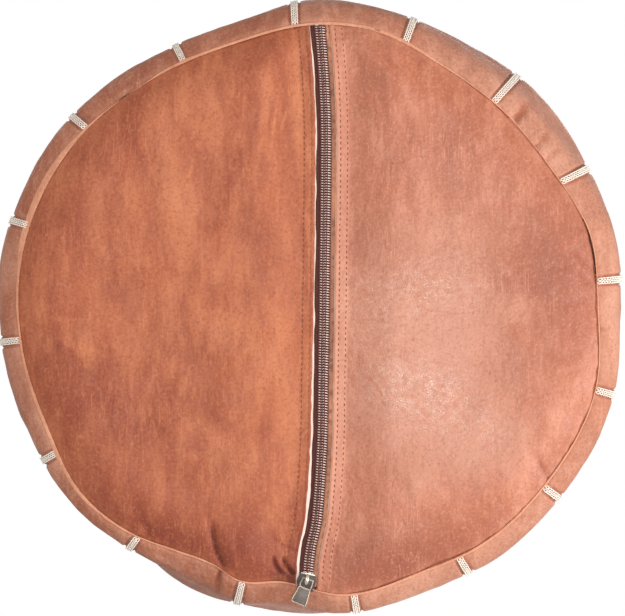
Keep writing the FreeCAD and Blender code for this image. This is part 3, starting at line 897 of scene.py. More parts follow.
def base_half(side, material):
    """One half of the base: the left one's edge along the zip is left unfolded, showing the leather's pale
    core; the right one's is folded and has a painted highlight along the fold.
    """
    rows, columns = 360, 125
    top, bottom = zip_edge_end(side, -1), zip_edge_end(side, 1)
    turn = np.linspace(0, pi, rows) * 0.86 + 0.07 * pi
    along = top + (bottom - top) * 0.5 * (1 - np.cos(turn) / cos(0.07 * pi))
    waver = 0.0
    if side < 0:
        waver = 0.45 * noise(along / 13, 0.0, seed=61)
        waver = waver + 0.7 * noise(along / 9, 3.0, seed=62) * smooth((along - 110) / 60)
    ex, ey = zip_place(along, side * OPENING_HALF - waver)
    first = atan2(*zip_place(top, side * OPENING_HALF)[::-1]) + 2 * pi * (side < 0)
    last = atan2(*zip_place(bottom, side * OPENING_HALF)[::-1])
    angle = first + (last - first) * (along - along[0]) / (along[-1] - along[0])
    rim = seam_radius(np.degrees(angle)) - 0.1 - 0.9 * open_seam(np.degrees(angle))
    rx, ry = rim * np.cos(angle), rim * np.sin(angle)
    u = crowded(columns, 0.82)
    x = ex[:, None] + (rx - ex)[:, None] * u
    y = ey[:, None] + (ry - ey)[:, None] * u
    outer = np.stack([x, y, base_height(x, y, side)], -1)
    s, lateral = zip_measure(x, y)
    edge = np.abs(lateral) - OPENING_HALF
    at = np.degrees(np.arctan2(y, x))
    distance = seam_radius(at) - np.hypot(x, y)
    wear = 0.9 * bump(edge - 10.2, 1.1) * (0.4 + 0.4 * noise(s / 7, 0.0, seed=63)) + 0.4 * bump(distance, 3)
    # Painted shade: darker in the seam groove round the rim, in the creases and in the gap where the base
    # seam gapes.
    tone = np.maximum(patches(x, y), -1.15) - 0.2 * bump(distance - 0.3, 1.0)
    tone = tone - 0.3 * crease_depth(x, y, 0.6, 0.5) - 1.2 * bump(distance - 0.6, 1.3) * open_seam(at)
    painted_glints = np.zeros_like(tone)
    if side < 0:
        # Painted shade along the fold line beside the unfolded edge and in the groove of the first stitch
        # row.
        tone = tone - 0.35 * bump(edge - 2.9, 0.7) - 0.35 * bump(edge - 4.0, 0.45)
        pale_edge_width, pale_edge_strength = 0.9 + 1.0 * smooth((s + 60) / 180), 1.0
    else:
        wear = wear + 0.9 * np.clip(1 - edge / 9.5, 0, 1)
        tone = tone + 0.3 * smooth((11.5 - edge) / 3)
        pale_edge_width, pale_edge_strength = 0.75, 0.7
        # Painted highlights: spots of pale flecks on the right half.
        for gx, gy, long, wide, amount in PAINTED_GLINT_SPOTS:
            painted_glints = painted_glints + amount * bump(x - gx, long) * bump(y - gy, wide)
    # On the left this is the pale core of the unfolded edge; on the right it is a painted highlight along the
    # fold.
    raw_edge_and_highlight = smooth((pale_edge_width + 0.3 * noise(s / 6, 0.0, seed=65) - edge) / 0.5) * pale_edge_strength
    attributes = {"tone": tone, "wear": np.clip(wear, 0, 1), "raw_edge_and_highlight": raw_edge_and_highlight, "painted_glints": painted_glints}
    name = SIDE_NAMES[side]
    piece = sheet_piece(f"base_{name}", outer, LEATHER, (0, 0, 1), "cover", material,
                        attributes)
    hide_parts(f"base_panel_{name}")


def base_welt():
    """The folded flap of the base seam, lying out over the foot of the side wall."""
    angle = np.linspace(0, 360, 1080, endpoint=False)
    shows = around(WELT_SHOWS, angle) + 0.25 * noise(angle / 2.2, 0.0, seed=71)
    shows = np.maximum(shows - 0.9 * bump(angle - 135.1, 0.5), 0.2)[:, None]
    angle = angle[:, None]
    share = np.array([0.0, 0.1, 0.45, 0.8, 0.95, 1.0, 0.95, 0.8, 0.45, 0.1, 0.0])
    lift = np.array([0.0, -0.5, -0.75, -0.85, -0.7, 0.0, 0.7, 0.85, 0.75, 0.5, 0.0])
    foot, slope, thick = 13.0, 0.42, 1.08
    out = share * shows
    z = foot + out * slope + thick * lift + 0.2 * noise(angle / 1.6, out / 4, seed=73)
    r = seam_radius(angle) + 0.1 + out
    cx, cy = circle(angle)
    verts = np.stack([r * cx, r * cy, z], -1)
    tone = 0.25 * layered(angle / 9, out / 9, seed=75) + 0.15
    wear = np.clip(bump(out - shows, 1.0), 0, 1)
    attributes = {"tone": np.ravel(tone), "wear": np.ravel(wear)}
    piece = make_object("base_welt_flap", verts.reshape(-1, 3), loop_faces(*r.shape), "cover",
                        M_WELT, attributes)
    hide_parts("base_welt")


def hide_lightness(angle):
    """The hides differ from gore to gore: one tone, constant over a gore."""
    return 0.28 * noise(np.floor(angle * PANELS / 360 + 0.3) * 3.7, 0.5, seed=81)


def side_panels():
    for k, (start, end) in enumerate(PANEL_ANGLES, 1):
        share = crowded(40, 0.45)
        angle = (start + (end - start) * share)[:, None]
        rise = crowded(104, 0.45)[None, :]
        height = rise * WALL_RISE
        grid = wall_point(angle, rise)
        width = np.radians(end - start) * 255
        off = np.minimum(share, 1 - share)[:, None] * width
        tuck = -1.2 * bump(off, 1.3) - 1.5 * bump(off - 4.3, 0.9)
        out = grid * (1, 1, 0)
        out /= np.linalg.norm(out, axis=-1, keepdims=True)
        grid = grid + out * (tuck * np.ones_like(rise))[..., None]
        cx, cy = circle(angle)
        # Dye tone and painted light and shade round the wall, by which way it faces.
        tone = around(WALL_TONE, angle) + 0.25 * noise(cx * 6, cy * 6, rise * 5, seed=83)
        # Painted shade: darker in the folds at the wall's foot, in a line beside each stitched seam, under
        # the stitch band and where the wall meets the base seam.
        tone = tone - 0.35 * wall_fold(angle, height)
        tone = tone - 1.4 * bump(off - 4.2, 0.9) - 0.35 * smooth((3.6 - off) / 0.6) - 0.5 * bump(height, 1.8)
        wear = 0.35 * bump(off - 5, 1.5) + 0.4 * bump(height, 4) + 0.3 * bump(height - WALL_RISE, 6)
        attributes = {"tone": tone, "wear": np.clip(wear, 0, 1)}
        piece = sheet_piece(f"wall_{k:02d}", grid, LEATHER, -out.mean((0, 1)), "cover",
                            M_SIDE, attributes)
        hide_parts(f"side_panel_{k:02d}")


def top_panels():
    for k, (start, end) in enumerate(PANEL_ANGLES, 1):
        share = crowded(30, 0.35)
        angle = (start + (end - start) * share)[:, None]
        rise = np.linspace(0, 1, 70)[None, :]
        grid = top_point(angle, rise)
        radius = np.hypot(grid[..., 0], grid[..., 1])
        off = np.minimum(share, 1 - share)[:, None] * np.radians(end - start) * radius
        grid[..., 2] -= 1.4 * bump(off, 1.2) + 0.6 * bump(off - 4.2, 0.9)
        tone = hide_lightness((start + end) / 2 + 40)
        tone = tone + 0.3 * noise(grid[..., 0] / 40, grid[..., 1] / 40, seed=85)
        wear = 0.35 * bump(off - 5, 1.5) + 0.3 * bump(rise, 0.03)
        attributes = {"tone": tone, "wear": np.clip(wear, 0, 1)}
        piece = sheet_piece(f"gore_{k:02d}", grid, LEATHER, (0, 0, -1), "cover", M_TOP,
                            attributes)
        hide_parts(f"top_panel_{k:02d}")


def top_welt():
    """A rolled cord of leather round the top seam."""
    angle = np.linspace(0, 360, 900, endpoint=False)
    cx, cy = circle(angle)
    radius = 240.4 + girth_past_round(angle) * 0.3
    path = np.stack([radius * cx, radius * cy, 290.4 + 0.5 * noise(angle / 11, 0.0, seed=91)], -1)
    ups = np.tile([0.0, 0.0, 1.0], (len(angle), 1))
    turn = np.linspace(0, 2 * pi, 16, endpoint=False)
    thick = 3.0 + 0.22 * noise(angle[:, None] / 1.5, turn[None, :] * 0.8, seed=93)
    thick = thick - 0.3 * bump(seam_share(angle)[:, None] * 90, 2.0)
    section = np.stack([thick * np.cos(turn), thick * np.sin(turn)], -1)
    verts, faces = ring_tube(path, ups, section)
    tone = np.ravel(0.3 * noise(angle[:, None] / 8, turn[None, :], seed=95))
    piece = make_object("top_welt_cord", verts, faces, "cover", M_WELT,
                        {"tone": tone, "wear": 0.3 + 0 * tone})
    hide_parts("top_welt")


def medallion():
    """The round patch over the meeting point of the gores."""
    low, high = low_high("top_medallion")
    radius = high[0]
    angle = np.linspace(0, 2 * pi, 120, endpoint=False)
    ring = np.array([0.0, 0.1, 0.3, 0.5, 0.7, 0.84, 0.93, 0.98, 1.0, 1.0, 0.98, 0.9, 0.5, 0.1, 0.0])
    height = np.array([2.8, 2.8, 2.7, 2.5, 2.3, 2.1, 1.9, 1.6, 1.1, 0.6, 0.2, 0.1, 0.4, 0.6, 0.6])
    r = ring[None] * (radius + 0.5 * noise(np.cos(angle) * 3, np.sin(angle) * 3, seed=97))[:, None]
    x, y = r * np.cos(angle)[:, None], r * np.sin(angle)[:, None]
    z = low[2] + height[None] + 0.25 * noise(x / 9, y / 9, seed=99) * (height[None] > 1)
    verts = np.stack([x, y, z], -1)
    columns = len(ring) - 2
    inside = verts[:, 1:-1].reshape(-1, 3)
    top, bottom = verts[:, 0].mean(0), verts[:, -1].mean(0)
    faces = [list(f) for f in grid_faces(len(angle), columns, closed=True)]
    count = len(inside)
    for i in range(len(angle)):
        here, after = i * columns, ((i + 1) % len(angle)) * columns
        faces.append([count, here, after])
        faces.append([count + 1, after + columns - 1, here + columns - 1])
    verts = np.concatenate([inside, [top, bottom]])
    tone = -0.2 + 0.3 * noise(verts[:, 0] / 22, verts[:, 1] / 22, seed=101)
    wear = bump(np.hypot(verts[:, 0], verts[:, 1]) - radius, 3)
    piece = make_object("medallion", verts, faces, "cover", M_TOP,
                        {"tone": tone, "wear": wear})
    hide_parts("top_medallion")


# ---------------------------------------------------------------- embroidery

def chain_row(place, length, offset, width=2.1, radius=0.46, seed=0, pitch=3.2):
    """Chain stitches along a line that place(along, across, lift) lays out. A link is two bowed strands."""
    count = int(length // pitch)
    pitch = length / count
    start = np.arange(count) * pitch
    share = np.array([0.0, 0.22, 0.5, 0.8, 1.12, 1.34])
    bow = np.array([0.10, 0.62, 1.0, 0.95, 0.55, 0.22]) * width / 2 * 0.52
    rise = np.array([-0.25, 0.35, 0.62, 0.66, 0.42, -0.1])
    jitter = noise(start / 2.3, offset, seed=seed)
    paths, ups = [], []
    for way in (-1, 1):
        along = start[:, None] + share[None] * pitch + 0.15 * jitter[:, None]
        across = offset + way * bow[None] * (1 + 0.12 * jitter[:, None]) + 0.12 * jitter[:, None]
        lift = rise[None] * (1 + 0.15 * jitter[:, None]) + 0.25
        points = place(along, across, lift)
        above = place(along, across, lift + 0.5)
        up = above - points
        paths.append(points)
        ups.append(up / np.linalg.norm(up, axis=-1, keepdims=True))
    return np.concatenate(paths), np.concatenate(ups), radius


def joined(parts):
    """One mesh from (vertices, faces) parts."""
    verts, faces, start = [], [], 0
    for v, f in parts:
        verts.append(v)
        faces += [[n + start for n in face] for face in f]
        start += len(v)
    return np.concatenate(verts), faces


def stitched_piece(name, rows, material, replaced=()):
    """One piece from rows of (paths, ups, radius). It may stand for a CAD node."""
    verts, faces = joined([strands(*row) for row in rows])
    piece = make_object(name, verts, faces, "cover", material)
    if replaced:
        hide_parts(*replaced)


def wall_band(k, seam):
    """Two rows of wide chain stitch over one side seam."""
    foot = 0.002

    def place(along, across, lift):
        t = foot + (1 - foot) * along / 287.0
        angle = seam + np.degrees(across / 252.0)
        return wall_point(angle, np.clip(t, 0, 1), lift)

    rows = [chain_row(place, 284.0, offset, 3.9, 0.46, k * 3 + n, 2.7)
            for n, offset in enumerate((-1.5, 1.5))]
    replaced = ["side_seam_embroidery"] if k == 1 else []
    stitched_piece(f"wall_chain_stitch_{k:02d}", rows, M_THREAD, replaced)


def top_band(k, seam):
    """Three rows of chain stitch over one seam of the top, from the welt to the medallion."""
    def place(along, across, lift):
        t = 0.03 + 0.97 * along / 200.0
        radius = np.hypot(*np.moveaxis(top_point(seam, np.clip(t, 0, 1)), -1, 0)[:2])
        angle = seam + np.degrees(across / radius)
        return top_point(angle, np.clip(t, 0, 1), lift)

    rows = [chain_row(place, 192.0, offset, seed=k * 5 + n) for n, offset in enumerate((-2.1, 0.0, 2.1))]
    replaced = ["top_seam_embroidery"] if k == 1 else []
    stitched_piece(f"top_chain_stitch_{k:02d}", rows, M_THREAD, replaced)


def top_arches():
    """A pointed arch of two lines of chain stitch on each gore."""
    rows = []
    for k, (start, end) in enumerate(PANEL_ANGLES):
        middle, half = (start + end) / 2, (end - start) / 2
        for side in (-1, 1):
            for inset, seed in ((0.0, 1), (5.5, 2)):
                base_r, tip_r = 218.0 - inset * 0.4, 148.0 + inset * 1.7
                knots = np.array([0.0, 0.35, 0.7, 1.0])
                spread = np.array([0.80, 0.70, 0.34, 0.0]) * radians(half) * (1 - inset / 40)
                radii = np.array([base_r, base_r - 22, tip_r + 20, tip_r])
                length = 84.0 - 1.8 * inset

                def place(along, across, lift):
                    t = np.clip(along / length, 0, 1)
                    r = through(knots, radii, t)
                    a = through(knots, spread, t)
                    share = (236.5 - r) / 200.0
                    angle = middle + side * np.degrees(a) + np.degrees(across / r)
                    return top_point(angle, np.clip(share, 0, 1), lift)

                rows.append(chain_row(place, length, 0.0, 1.9, 0.42, seed=k * 7 + seed))
    stitched_piece("top_arch_stitching", rows, M_THREAD)


def medallion_stitching():
    """Three rings of chain stitch and eight petals between them."""
    low, high = low_high("top_medallion")
    rows = []
    for radius, width in ((high[0] - 3.2, 2.1), (high[0] - 5.8, 2.1), (16.0, 2.0)):
        def place(along, across, lift):
            angle = along / radius
            r = radius + across
            z = low[2] + 2.05 + 0.6 * (1 - (radius / high[0]) ** 2) + lift
            return np.stack([r * np.cos(angle), r * np.sin(angle), z + 0 * angle], -1)

        rows.append(chain_row(place, 2 * pi * radius, 0.0, width, 0.44, seed=int(radius)))
    for petal in range(8):
        turn = petal * pi / 4
        for side in (-1, 1):
            def place(along, across, lift):
                t = np.clip(along / 22.0, 0, 1)
                r = 18.0 + 19.0 * t
                bow = side * 5.2 * np.sin(pi * t) + across
                c, s = np.cos(turn), np.sin(turn)
                z = low[2] + 2.15 + 0.55 * (1 - (r / high[0]) ** 2) + lift
                return np.stack([r * c - bow * s, r * s + bow * c, z], -1)

            rows.append(chain_row(place, 22.0, 0.0, 1.9, 0.42, seed=petal * 2 + side))
    stitched_piece("medallion_stitching", rows, M_THREAD, ["medallion_embroidery"])


# ---------------------------------------------------------------- zip

def zip_point(along, lateral, z):
    x, y = zip_place(along, lateral)
    return np.stack(np.broadcast_arrays(x, y, z), -1)


COIL_PITCH = 2.13
# The slider's middle is 1.6 along the zip from the tab's pin
SLIDER_AT = (atan2(*(TAB_PIN[:2] - ZIP_CENTRE)[::-1]) - ZIP_TILT) * ZIP_R + 1.6
ZIP_START = zip_edge_end(0, -1) - 0.6


def zip_dive(along):
    """The zip's far end rises to pass inside the base seam."""
    return 3.0 * smooth(1 - (along - ZIP_START) / 7)


def zip_tape(side):
    rows, columns = 460, 14
    end = min(SLIDER_AT + 8.0, zip_edge_end(0, 1) - 1.0)
    along = np.linspace(ZIP_START, end, rows)[:, None]
    lateral = side * np.linspace(1.2, 13.0, columns)[None]
    z = TAPE_Z + 0.10 * np.cos(along * 2 * pi / 1.4) + 0.15 * noise(along / 14, lateral / 5, seed=111 + side)
    z = z + zip_dive(along) - 0.6 * smooth((np.abs(lateral) - 4.3) / 0.8)
    x, y = zip_place(along, lateral)
    inside = base_height(x, y, side) + LEATHER + 0.35
    covered = smooth((np.abs(lateral) - OPENING_HALF + 1.6) / 1.2)
    grid = zip_point(along, lateral, z + np.maximum(inside - z, 0) * covered)
    name = SIDE_NAMES[side]
    # Painted sheen: the tape on the +X side is drawn lighter, as if lit, away from the coil.
    painted_sheen = (0.75 + 0.25 * noise(along / 30, 0.0, seed=117)) * (side > 0)
    painted_sheen = painted_sheen * smooth((np.abs(lateral) - 3.6) / 1.2)
    piece = sheet_piece(f"tape_{name}", grid, 0.6, (0, 0, 1), "cover", M_TAPE,
                        {"painted_sheen": painted_sheen})
    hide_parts(f"zip_tape_{name}")


def zip_coil(side):
    """One nylon coil: a flattened helix whose heads meet the other coil's along the middle."""
    turns = int((SLIDER_AT - 4.0 - ZIP_START) / COIL_PITCH)
    steps = 16
    phase = np.linspace(0, turns * 2 * pi, turns * steps)
    along = ZIP_START + COIL_PITCH * phase / (2 * pi) + (0.5 * COIL_PITCH if side > 0 else 0.0)
    middle, half, tall = 1.80, 2.25, 1.15
    squared = np.sign(np.cos(phase)) * np.abs(np.cos(phase)) ** 0.8
    lateral = side * (middle + half * squared)
    centre_z = COIL_Z + 1.35 + zip_dive(along)
    z = centre_z + side * tall * np.sin(phase)
    if side < 0:
        z = z + 0.9 * smooth((lateral + 1.7) / 1.2)
    path = zip_point(along, lateral, z)
    core = zip_point(along, side * middle, centre_z)
    ups = path - core
    ups /= np.linalg.norm(ups, axis=-1, keepdims=True)
    verts, faces = strands(path[None], ups[None], 0.5, 6)
    # Painted highlight: the part of each turn that faces down, towards the floor, gets the bright colour.
    painted_crest_highlight = smooth((np.repeat(centre_z, 6) - verts[:, 2] - 0.5) / 0.8)
    name = SIDE_NAMES[side]
    piece = make_object(f"coil_{name}", verts, faces, "cover", M_COIL, {"painted_crest_highlight": painted_crest_highlight})
    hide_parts(f"zip_coil_{name}")


def coil_sewing():
    """The lines of thread that sew each coil to its tape, over the turns."""
    rows = []
    for lateral, thick in ((-4.15, 0.35), (-1.65, 0.5), (1.15, 0.42), (4.2, 0.3)):
        turns = int((SLIDER_AT - 8.0 - ZIP_START) / COIL_PITCH)
        phase = np.linspace(0, turns * 2 * pi, turns * 6)
        along = ZIP_START + 1.0 + COIL_PITCH * phase / (2 * pi)
        z = COIL_Z - 0.2 - 0.14 * np.cos(phase) + zip_dive(along)
        path = zip_point(along, lateral, z)
        ups = np.tile([0.0, 0.0, -1.0], (len(phase), 1))
        rows.append((path[None], ups[None], thick))
    stitched_piece("coil_sewing_thread", rows, M_SEWING)


def machine_stitches(side):
    """Two rows of lockstitch through the hem."""
    rows = []
    for row in STITCH_ROWS:
        top, bottom = zip_edge_end(side, -1) + 4, zip_edge_end(side, 1) - 4
        count = int((bottom - top) // STITCH_PITCH)
        start = top + np.arange(count) * STITCH_PITCH
        reach = 0.34 if side < 0 else 0.24
        share = np.linspace(-reach, reach, 6)
        along = start[:, None] + share[None] * STITCH_PITCH
        lateral = side * (OPENING_HALF + row) + 0.12 * noise(start / 7, row, seed=121)[:, None] + 0 * along
        x, y = zip_place(along, lateral)
        sink = 0.45 * (np.abs(share) / reach) ** 3
        depth = 0.22 if side < 0 and row == STITCH_ROWS[0] else 0.0
        z = base_height(x, y, side) + depth + sink[None]
        ups = np.tile([0.0, 0.0, -1.0], (count, 6, 1))
        rows.append((np.stack([x, y, z], -1), ups, 0.33 if side < 0 else 0.40))
    name = SIDE_NAMES[side]
    stitched_piece(f"hem_stitches_{name}", rows, M_STITCH, [f"zip_stitching_{name}"])


# ---------------------------------------------------------------- metal parts

def bevelled(outline, low, high, width, segments=2):
    """A prism with rounded edges, as (vertices, faces)."""
    made = bmesh.new()
    ring = [made.verts.new((x, y, low)) for x, y in outline]
    face = made.faces.new(ring)
    up = bmesh.ops.extrude_face_region(made, geom=[face])
    moved = [v for v in up["geom"] if isinstance(v, bmesh.types.BMVert)]
    bmesh.ops.translate(made, verts=moved, vec=(0, 0, high - low))
    bmesh.ops.recalc_face_normals(made, faces=made.faces)
    bmesh.ops.bevel(made, geom=list(made.edges), offset=width, segments=segments, affect="EDGES", profile=0.5)
    made.verts.index_update()
    verts = np.array([v.co for v in made.verts])
    faces = [[v.index for v in f.verts] for f in made.faces]
    made.free()
    return verts, faces


def tube(points, radius, sides=12, up=(0, 0, 1)):
    points = np.asarray(points, float)
    ups = np.tile(np.asarray(up, float), (len(points), 1))
    return strands(points[None], ups[None], radius, sides)


def placed(verts, origin, turn):
    c, s = cos(turn), sin(turn)
    x, y = verts[:, 0] * c - verts[:, 1] * s, verts[:, 0] * s + verts[:, 1] * c
    return np.stack([x + origin[0], y + origin[1], verts[:, 2] + origin[2]], -1)


def edge_wear(piece, sharp=0.6):
    """Marks the vertices on strongly bent edges, where lacquer rubs off."""
    mesh = piece.data
    made = bmesh.new()
    made.from_mesh(mesh)
    made.verts.ensure_lookup_table()
    values = np.zeros(len(made.verts), np.float32)
    for v in made.verts:
        angles = [e.calc_face_angle(0.0) for e in v.link_edges]
        values[v.index] = min(1.0, max(angles or [0.0]) / sharp)
    made.free()
    mesh.attributes.new("wear", "FLOAT", "POINT").data.foreach_set("value", values)


def metal_piece(name, parts, origin, turn, body):
    """Joins (vertices, faces, polish and painted highlight) parts into one piece."""
    verts, faces = joined([part[:2] for part in parts])
    polish_and_highlight = np.concatenate([np.full(len(part[0]), 1.0) * part[2] for part in parts])
    verts = placed(verts, origin, turn)
    piece = make_object(name, verts, faces, body, M_METAL, {"polish_and_highlight": np.clip(polish_and_highlight, 0, 1)})
    edge_wear(piece)
    return piece


def rectangle(x0, y0, x1, y1):
    return [(x0, y0), (x1, y0), (x1, y1), (x0, y1)]


def slider():
    """The slider's two plates, side walls, post, bar and crown, modelled with +Y to the closed end."""
    x, y = zip_place(SLIDER_AT, -0.8)
    right = [(5.9, -6.4), (6.9, -3.4), (7.6, -0.5), (7.6, 2.6), (6.0, 6.0), (2.0, 6.8)]
    outline = [(-5.9, -6.4)] + right + [(-px, py) for px, py in right[:0:-1]]
    post = [(0, 1.9), (0.6, 3.2), (1.2, 5.6), (-1.2, 5.6), (-0.6, 3.2)]
    parts = [
        (*bevelled(outline, 6.7, 7.95, 0.5, 3), 0.0),
        (*bevelled(outline, 12.8, 14.0, 0.4), 0.0),
        # The rear bar's bright colour is mostly a painted highlight.
        (*bevelled(rectangle(-5.8, -6.6, 5.8, -5.0), 6.0, 7.9, 0.5, 3), 0.85),
    ]
    for side in (-1, 1):
        wall = [(5.1, -6.3), (6.0, -6.3), (7.4, -0.5), (7.4, 2.6), (6.4, 2.6), (6.4, -0.3)]
        parts.append((*bevelled([(side * px, py) for px, py in wall], 7.7, 11.0, 0.2), 0.0))
    parts.append((*bevelled(post, 7.7, 13.2, 0.15), 0.0))
    angle = np.linspace(0, pi, 21)
    arch = np.stack([0 * angle, 3.6 * np.cos(angle) - 1.3, 7.4 - 3.1 * np.sin(angle) ** 0.7], -1)
    verts, faces = tube(arch, 1.0 + 0.8 * np.sin(angle), 16, (1, 0, 0))
    # Painted highlight on the crown's lowest part, which faces the floor.
    parts.append((verts, faces, smooth((5.4 - verts[:, 2]) / 1.6)))
    turn = ZIP_TILT + SLIDER_AT / ZIP_R + radians(SLIDER_YAW)
    piece = metal_piece("slider_body", parts, (x, y, 0.0), turn, "slider")
    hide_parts("zip_slider")


def pull_tab():
    """The tab, modelled along +Y from its pin and turned to the joint's axis."""
    eye = [(4.35, 2.0), (4.6, 6.6), (2.9, 8.0)]
    eye = [(-4.2, -0.4)] + [(-px, py) for px, py in eye] + eye[::-1] + [(4.2, -0.4)]
    eye = through(np.linspace(0, 1, len(eye)), eye, np.linspace(0, 1, 30))
    pin = [(px, 0, 0) for px in (-4.5, -3, 0, 3, 4.5)]
    start, end, middle = 7.0, 21.4, 14.2
    plate = [(-4.9, start), (4.9, start), (6.5, 20.5), (5.8, end), (-5.8, end), (-6.5, 20.5)]
    rim = np.array(plate + plate[:1])
    rim = np.concatenate([np.linspace(a, b, 8, endpoint=False) for a, b in zip(rim[:-1], rim[1:])])
    ring = np.stack([rim[:, 0] * 0.93, middle + (rim[:, 1] - middle) * 0.94, 0 * rim[:, 0] - 0.35], -1)
    ups = np.tile([0.0, 0.0, 1.0], (len(ring), 1))
    turn = np.linspace(0, 2 * pi, 8, endpoint=False)
    section = np.stack([0.55 * np.cos(turn), 0.5 * np.sin(turn)], -1)
    # The eye, pin and rim are brightened partly as worn brass, partly as painted highlight.
    parts = [
        (*tube(np.concatenate([eye, np.zeros((30, 1))], 1), 0.68), 0.35),
        (*tube(pin, 0.7), 0.5),
        (*bevelled(plate, -0.45, 0.55, 0.22), 0.10),
        (*ring_tube(ring, ups, np.tile(section, (len(ring), 1, 1))), 0.45),
    ]
    for row in range(6):
        y = 9.4 + row * 1.9
        half = 3.1 + 0.13 * (y - start)
        parts.append((*tube([(-half, y, -0.42), (0, y + 0.25, -0.5), (half, y, -0.42)], 0.2, 6), 0.15))
    piece = metal_piece("tab", parts, TAB_PIN, atan2(-TAB_AXIS[1], -TAB_AXIS[0]), "pull_tab")
    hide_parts("zip_pull_tab")


def stops():
    """Metal crimps: one on each coil at the closed end, and one across both at the far end."""
    for name, places, w, h, low in (
            ("top_stops", [(SLIDER_AT + 7.9, -3.7), (SLIDER_AT + 7.9, 3.7)], 1.5, 0.7, 8.8),
            ("bottom_stop", [(ZIP_START + 0.5, 0.0)], 4.4, 1.2, 13.0)):
        parts = []
        for along, lateral in places:
            verts, faces = bevelled(rectangle(-w, -h, w, h), low, low + 3.6, 0.4, 3)
            centre = (*zip_place(along, lateral), 0.0)
            parts.append((placed(verts, centre, ZIP_TILT + along / ZIP_R), faces, 0.0))
        piece = metal_piece(name, parts, (0, 0, 0), 0.0, "cover")
        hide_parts(f"zip_{name}")


# ---------------------------------------------------------------- inside

def filling(name, node, material, grow):
    """A soft body with lumps that follows the cover's outline, for what the cover holds."""
    low = low_high(node)[0][2]
    profile = [(6, low), (150, low), (214, low + 1.5), (234, low + 12), (249, 58), (255, 140), (249, 232),
               (229, 280), (189, 298), (120, 312), (40, 318), (6, 319)]
    profile = [(r + grow, z + grow * (z > 150)) for r, z in profile]
    points = profile_point(profile, np.linspace(0, 1, 90))[0]
    angle = np.linspace(0, 360, 150, endpoint=False)[:, None]
    cx, cy = circle(angle)
    r, z = points[:, 0][None], points[:, 1][None]
    up = smooth((z - 20) / 80)
    outline = (seam_radius(angle) - 233.0) * (1 - up)
    outline = outline + girth_past_round(angle) * up * (1 - 0.7 * smooth((z - 174) / 116))
    lumps = 1.0 * noise(r * cx / 34, r * cy / 34, z / 34, seed=131) - 1.0
    r = r + lumps * smooth(r / 40) + outline * smooth(r / 200)
    z = z + 0.6 * noise(r * cx / 30, r * cy / 30, seed=133) * (z > 200)
    grid = np.stack([r * cx, r * cy, z * np.ones_like(r)], -1)
    faces = [list(f) for f in grid_faces(*grid.shape[:2], 0, True, True)]
    columns = grid.shape[1]
    faces.append([i * columns for i in range(len(angle))])
    faces.append([i * columns + columns - 1 for i in range(len(angle))][::-1])
    piece = make_object(name, grid.reshape(-1, 3), faces, "cover", material)
    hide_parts(node)


# ---------------------------------------------------------------- stage

def floor():
    """A wide pale floor. Seen from under it, it is clear, so that the base shows."""
    s = Shader("pale_floor")
    diffuse = s.node("BsdfDiffuse", {"Color": (0.86, 0.86, 0.85, 1), "Roughness": 0.5})
    clear = s.node("BsdfTransparent")
    below = s.node("NewGeometry").outputs["Backfacing"]
    mixed = s.node("MixShader", {0: below, 1: diffuse.outputs[0], 2: clear.outputs[0]})
    s.tree.links.new(mixed.outputs[0], s.output.inputs["Surface"])
    mesh = bpy.data.meshes.new("floor")
    half, level = 12.0, -0.0004
    corners = [(x, y, level) for x, y in rectangle(-half, -half, half, half)]
    mesh.from_pydata(corners, [], [(0, 1, 2, 3)])
    mesh.materials.append(s.material)
    plane = bpy.data.objects.new("floor", mesh)
    bpy.context.scene.collection.objects.link(plane)
    for kind in ("diffuse", "glossy", "transmission", "shadow"):
        setattr(plane, f"visible_{kind}", False)


def lamp(name, place, target, size, watts):
    data = bpy.data.lights.new(name, "AREA")
    data.shape = "DISK"
    data.size = size
    data.energy = watts
    lamp_object = bpy.data.objects.new(name, data)
    lamp_object.visible_camera = False
    lamp_object.location = place
    lamp_object.rotation_euler = (Vector(target) - Vector(place)).to_track_quat("-Z", "Y").to_euler()
    bpy.context.scene.collection.objects.link(lamp_object)


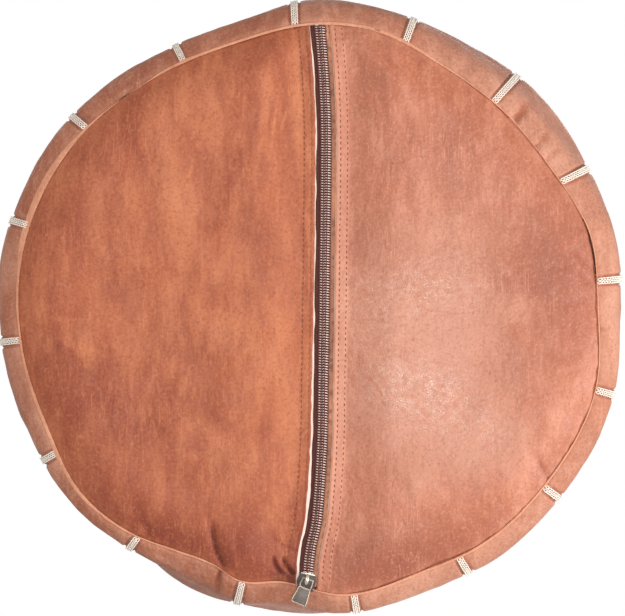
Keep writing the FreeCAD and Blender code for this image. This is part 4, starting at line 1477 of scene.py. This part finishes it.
def world():
    made = bpy.data.worlds.new("studio")
    made.use_nodes = True
    tree = made.node_tree
    tree.nodes.clear()
    out = tree.nodes.new("ShaderNodeOutputWorld")
    seen, lit, mix = (tree.nodes.new(f"ShaderNode{k}") for k in ("Background", "Background", "MixShader"))
    seen.inputs["Color"].default_value = (1, 1, 1, 1)
    seen.inputs["Strength"].default_value = 1.0
    lit.inputs["Color"].default_value = (1.0, 0.99, 0.98, 1)
    lit.inputs["Strength"].default_value = AMBIENT
    path = tree.nodes.new("ShaderNodeLightPath")
    tree.links.new(path.outputs["Is Camera Ray"], mix.inputs[0])
    tree.links.new(lit.outputs[0], mix.inputs[1])
    tree.links.new(seen.outputs[0], mix.inputs[2])
    tree.links.new(mix.outputs[0], out.inputs["Surface"])
    bpy.context.scene.world = made
    bpy.context.scene.view_settings.view_transform = "Standard"


def camera():
    """Straight under the base, looking up, with the closed end of the zip at the bottom of the picture."""
    data = bpy.data.cameras.new("camera")
    data.sensor_width = SENSOR
    data.lens = SENSOR * CAMERA_FROM / VIEW_WIDTH
    seen = bpy.data.objects.new("camera", data)
    seen.location = (*VIEW_MIDDLE, -CAMERA_FROM)
    seen.rotation_euler = (pi, 0, 0)
    bpy.context.scene.collection.objects.link(seen)
    bpy.context.scene.camera = seen


def lights():
    base = (0.0, 0.0, 0.05)
    lamp("under_key", (1.9, 0.55, -0.95), base, 1.2, 36)
    lamp("under_shine", (0.26, 0.16, -2.6), base, 0.6, 26)
    lamp("under_fill", (-1.2, -1.0, -2.0), base, 2.0, 9)
    lamp("key", (0.3, -0.4, 3.0), (0, 0, 0.2), 1.4, 60)
    lamp("fill", (-1.0, -0.6, 2.6), (0, 0, 0.15), 2.0, 16)
    lamp("back", (0.3, 0.9, 2.8), (0, 0, 0.2), 1.8, 20)


WALL_SWELL = wall_swell()
base_half(-1, M_LEFT)
base_half(1, M_RIGHT)
base_welt()
side_panels()
top_panels()
top_welt()
medallion()
for number, seam_at in enumerate(SEAMS, 1):
    wall_band(number, seam_at)
    top_band(number, seam_at)
top_arches()
medallion_stitching()
for which in (-1, 1):
    zip_tape(which)
    zip_coil(which)
    machine_stitches(which)
coil_sewing()
slider()
pull_tab()
stops()
filling("textile_filling", "stuffing", M_STUFFING, -3.4)
filling("cotton_bag", "inner_bag", M_BAG, -2.0)
floor()
world()
lights()
camera()
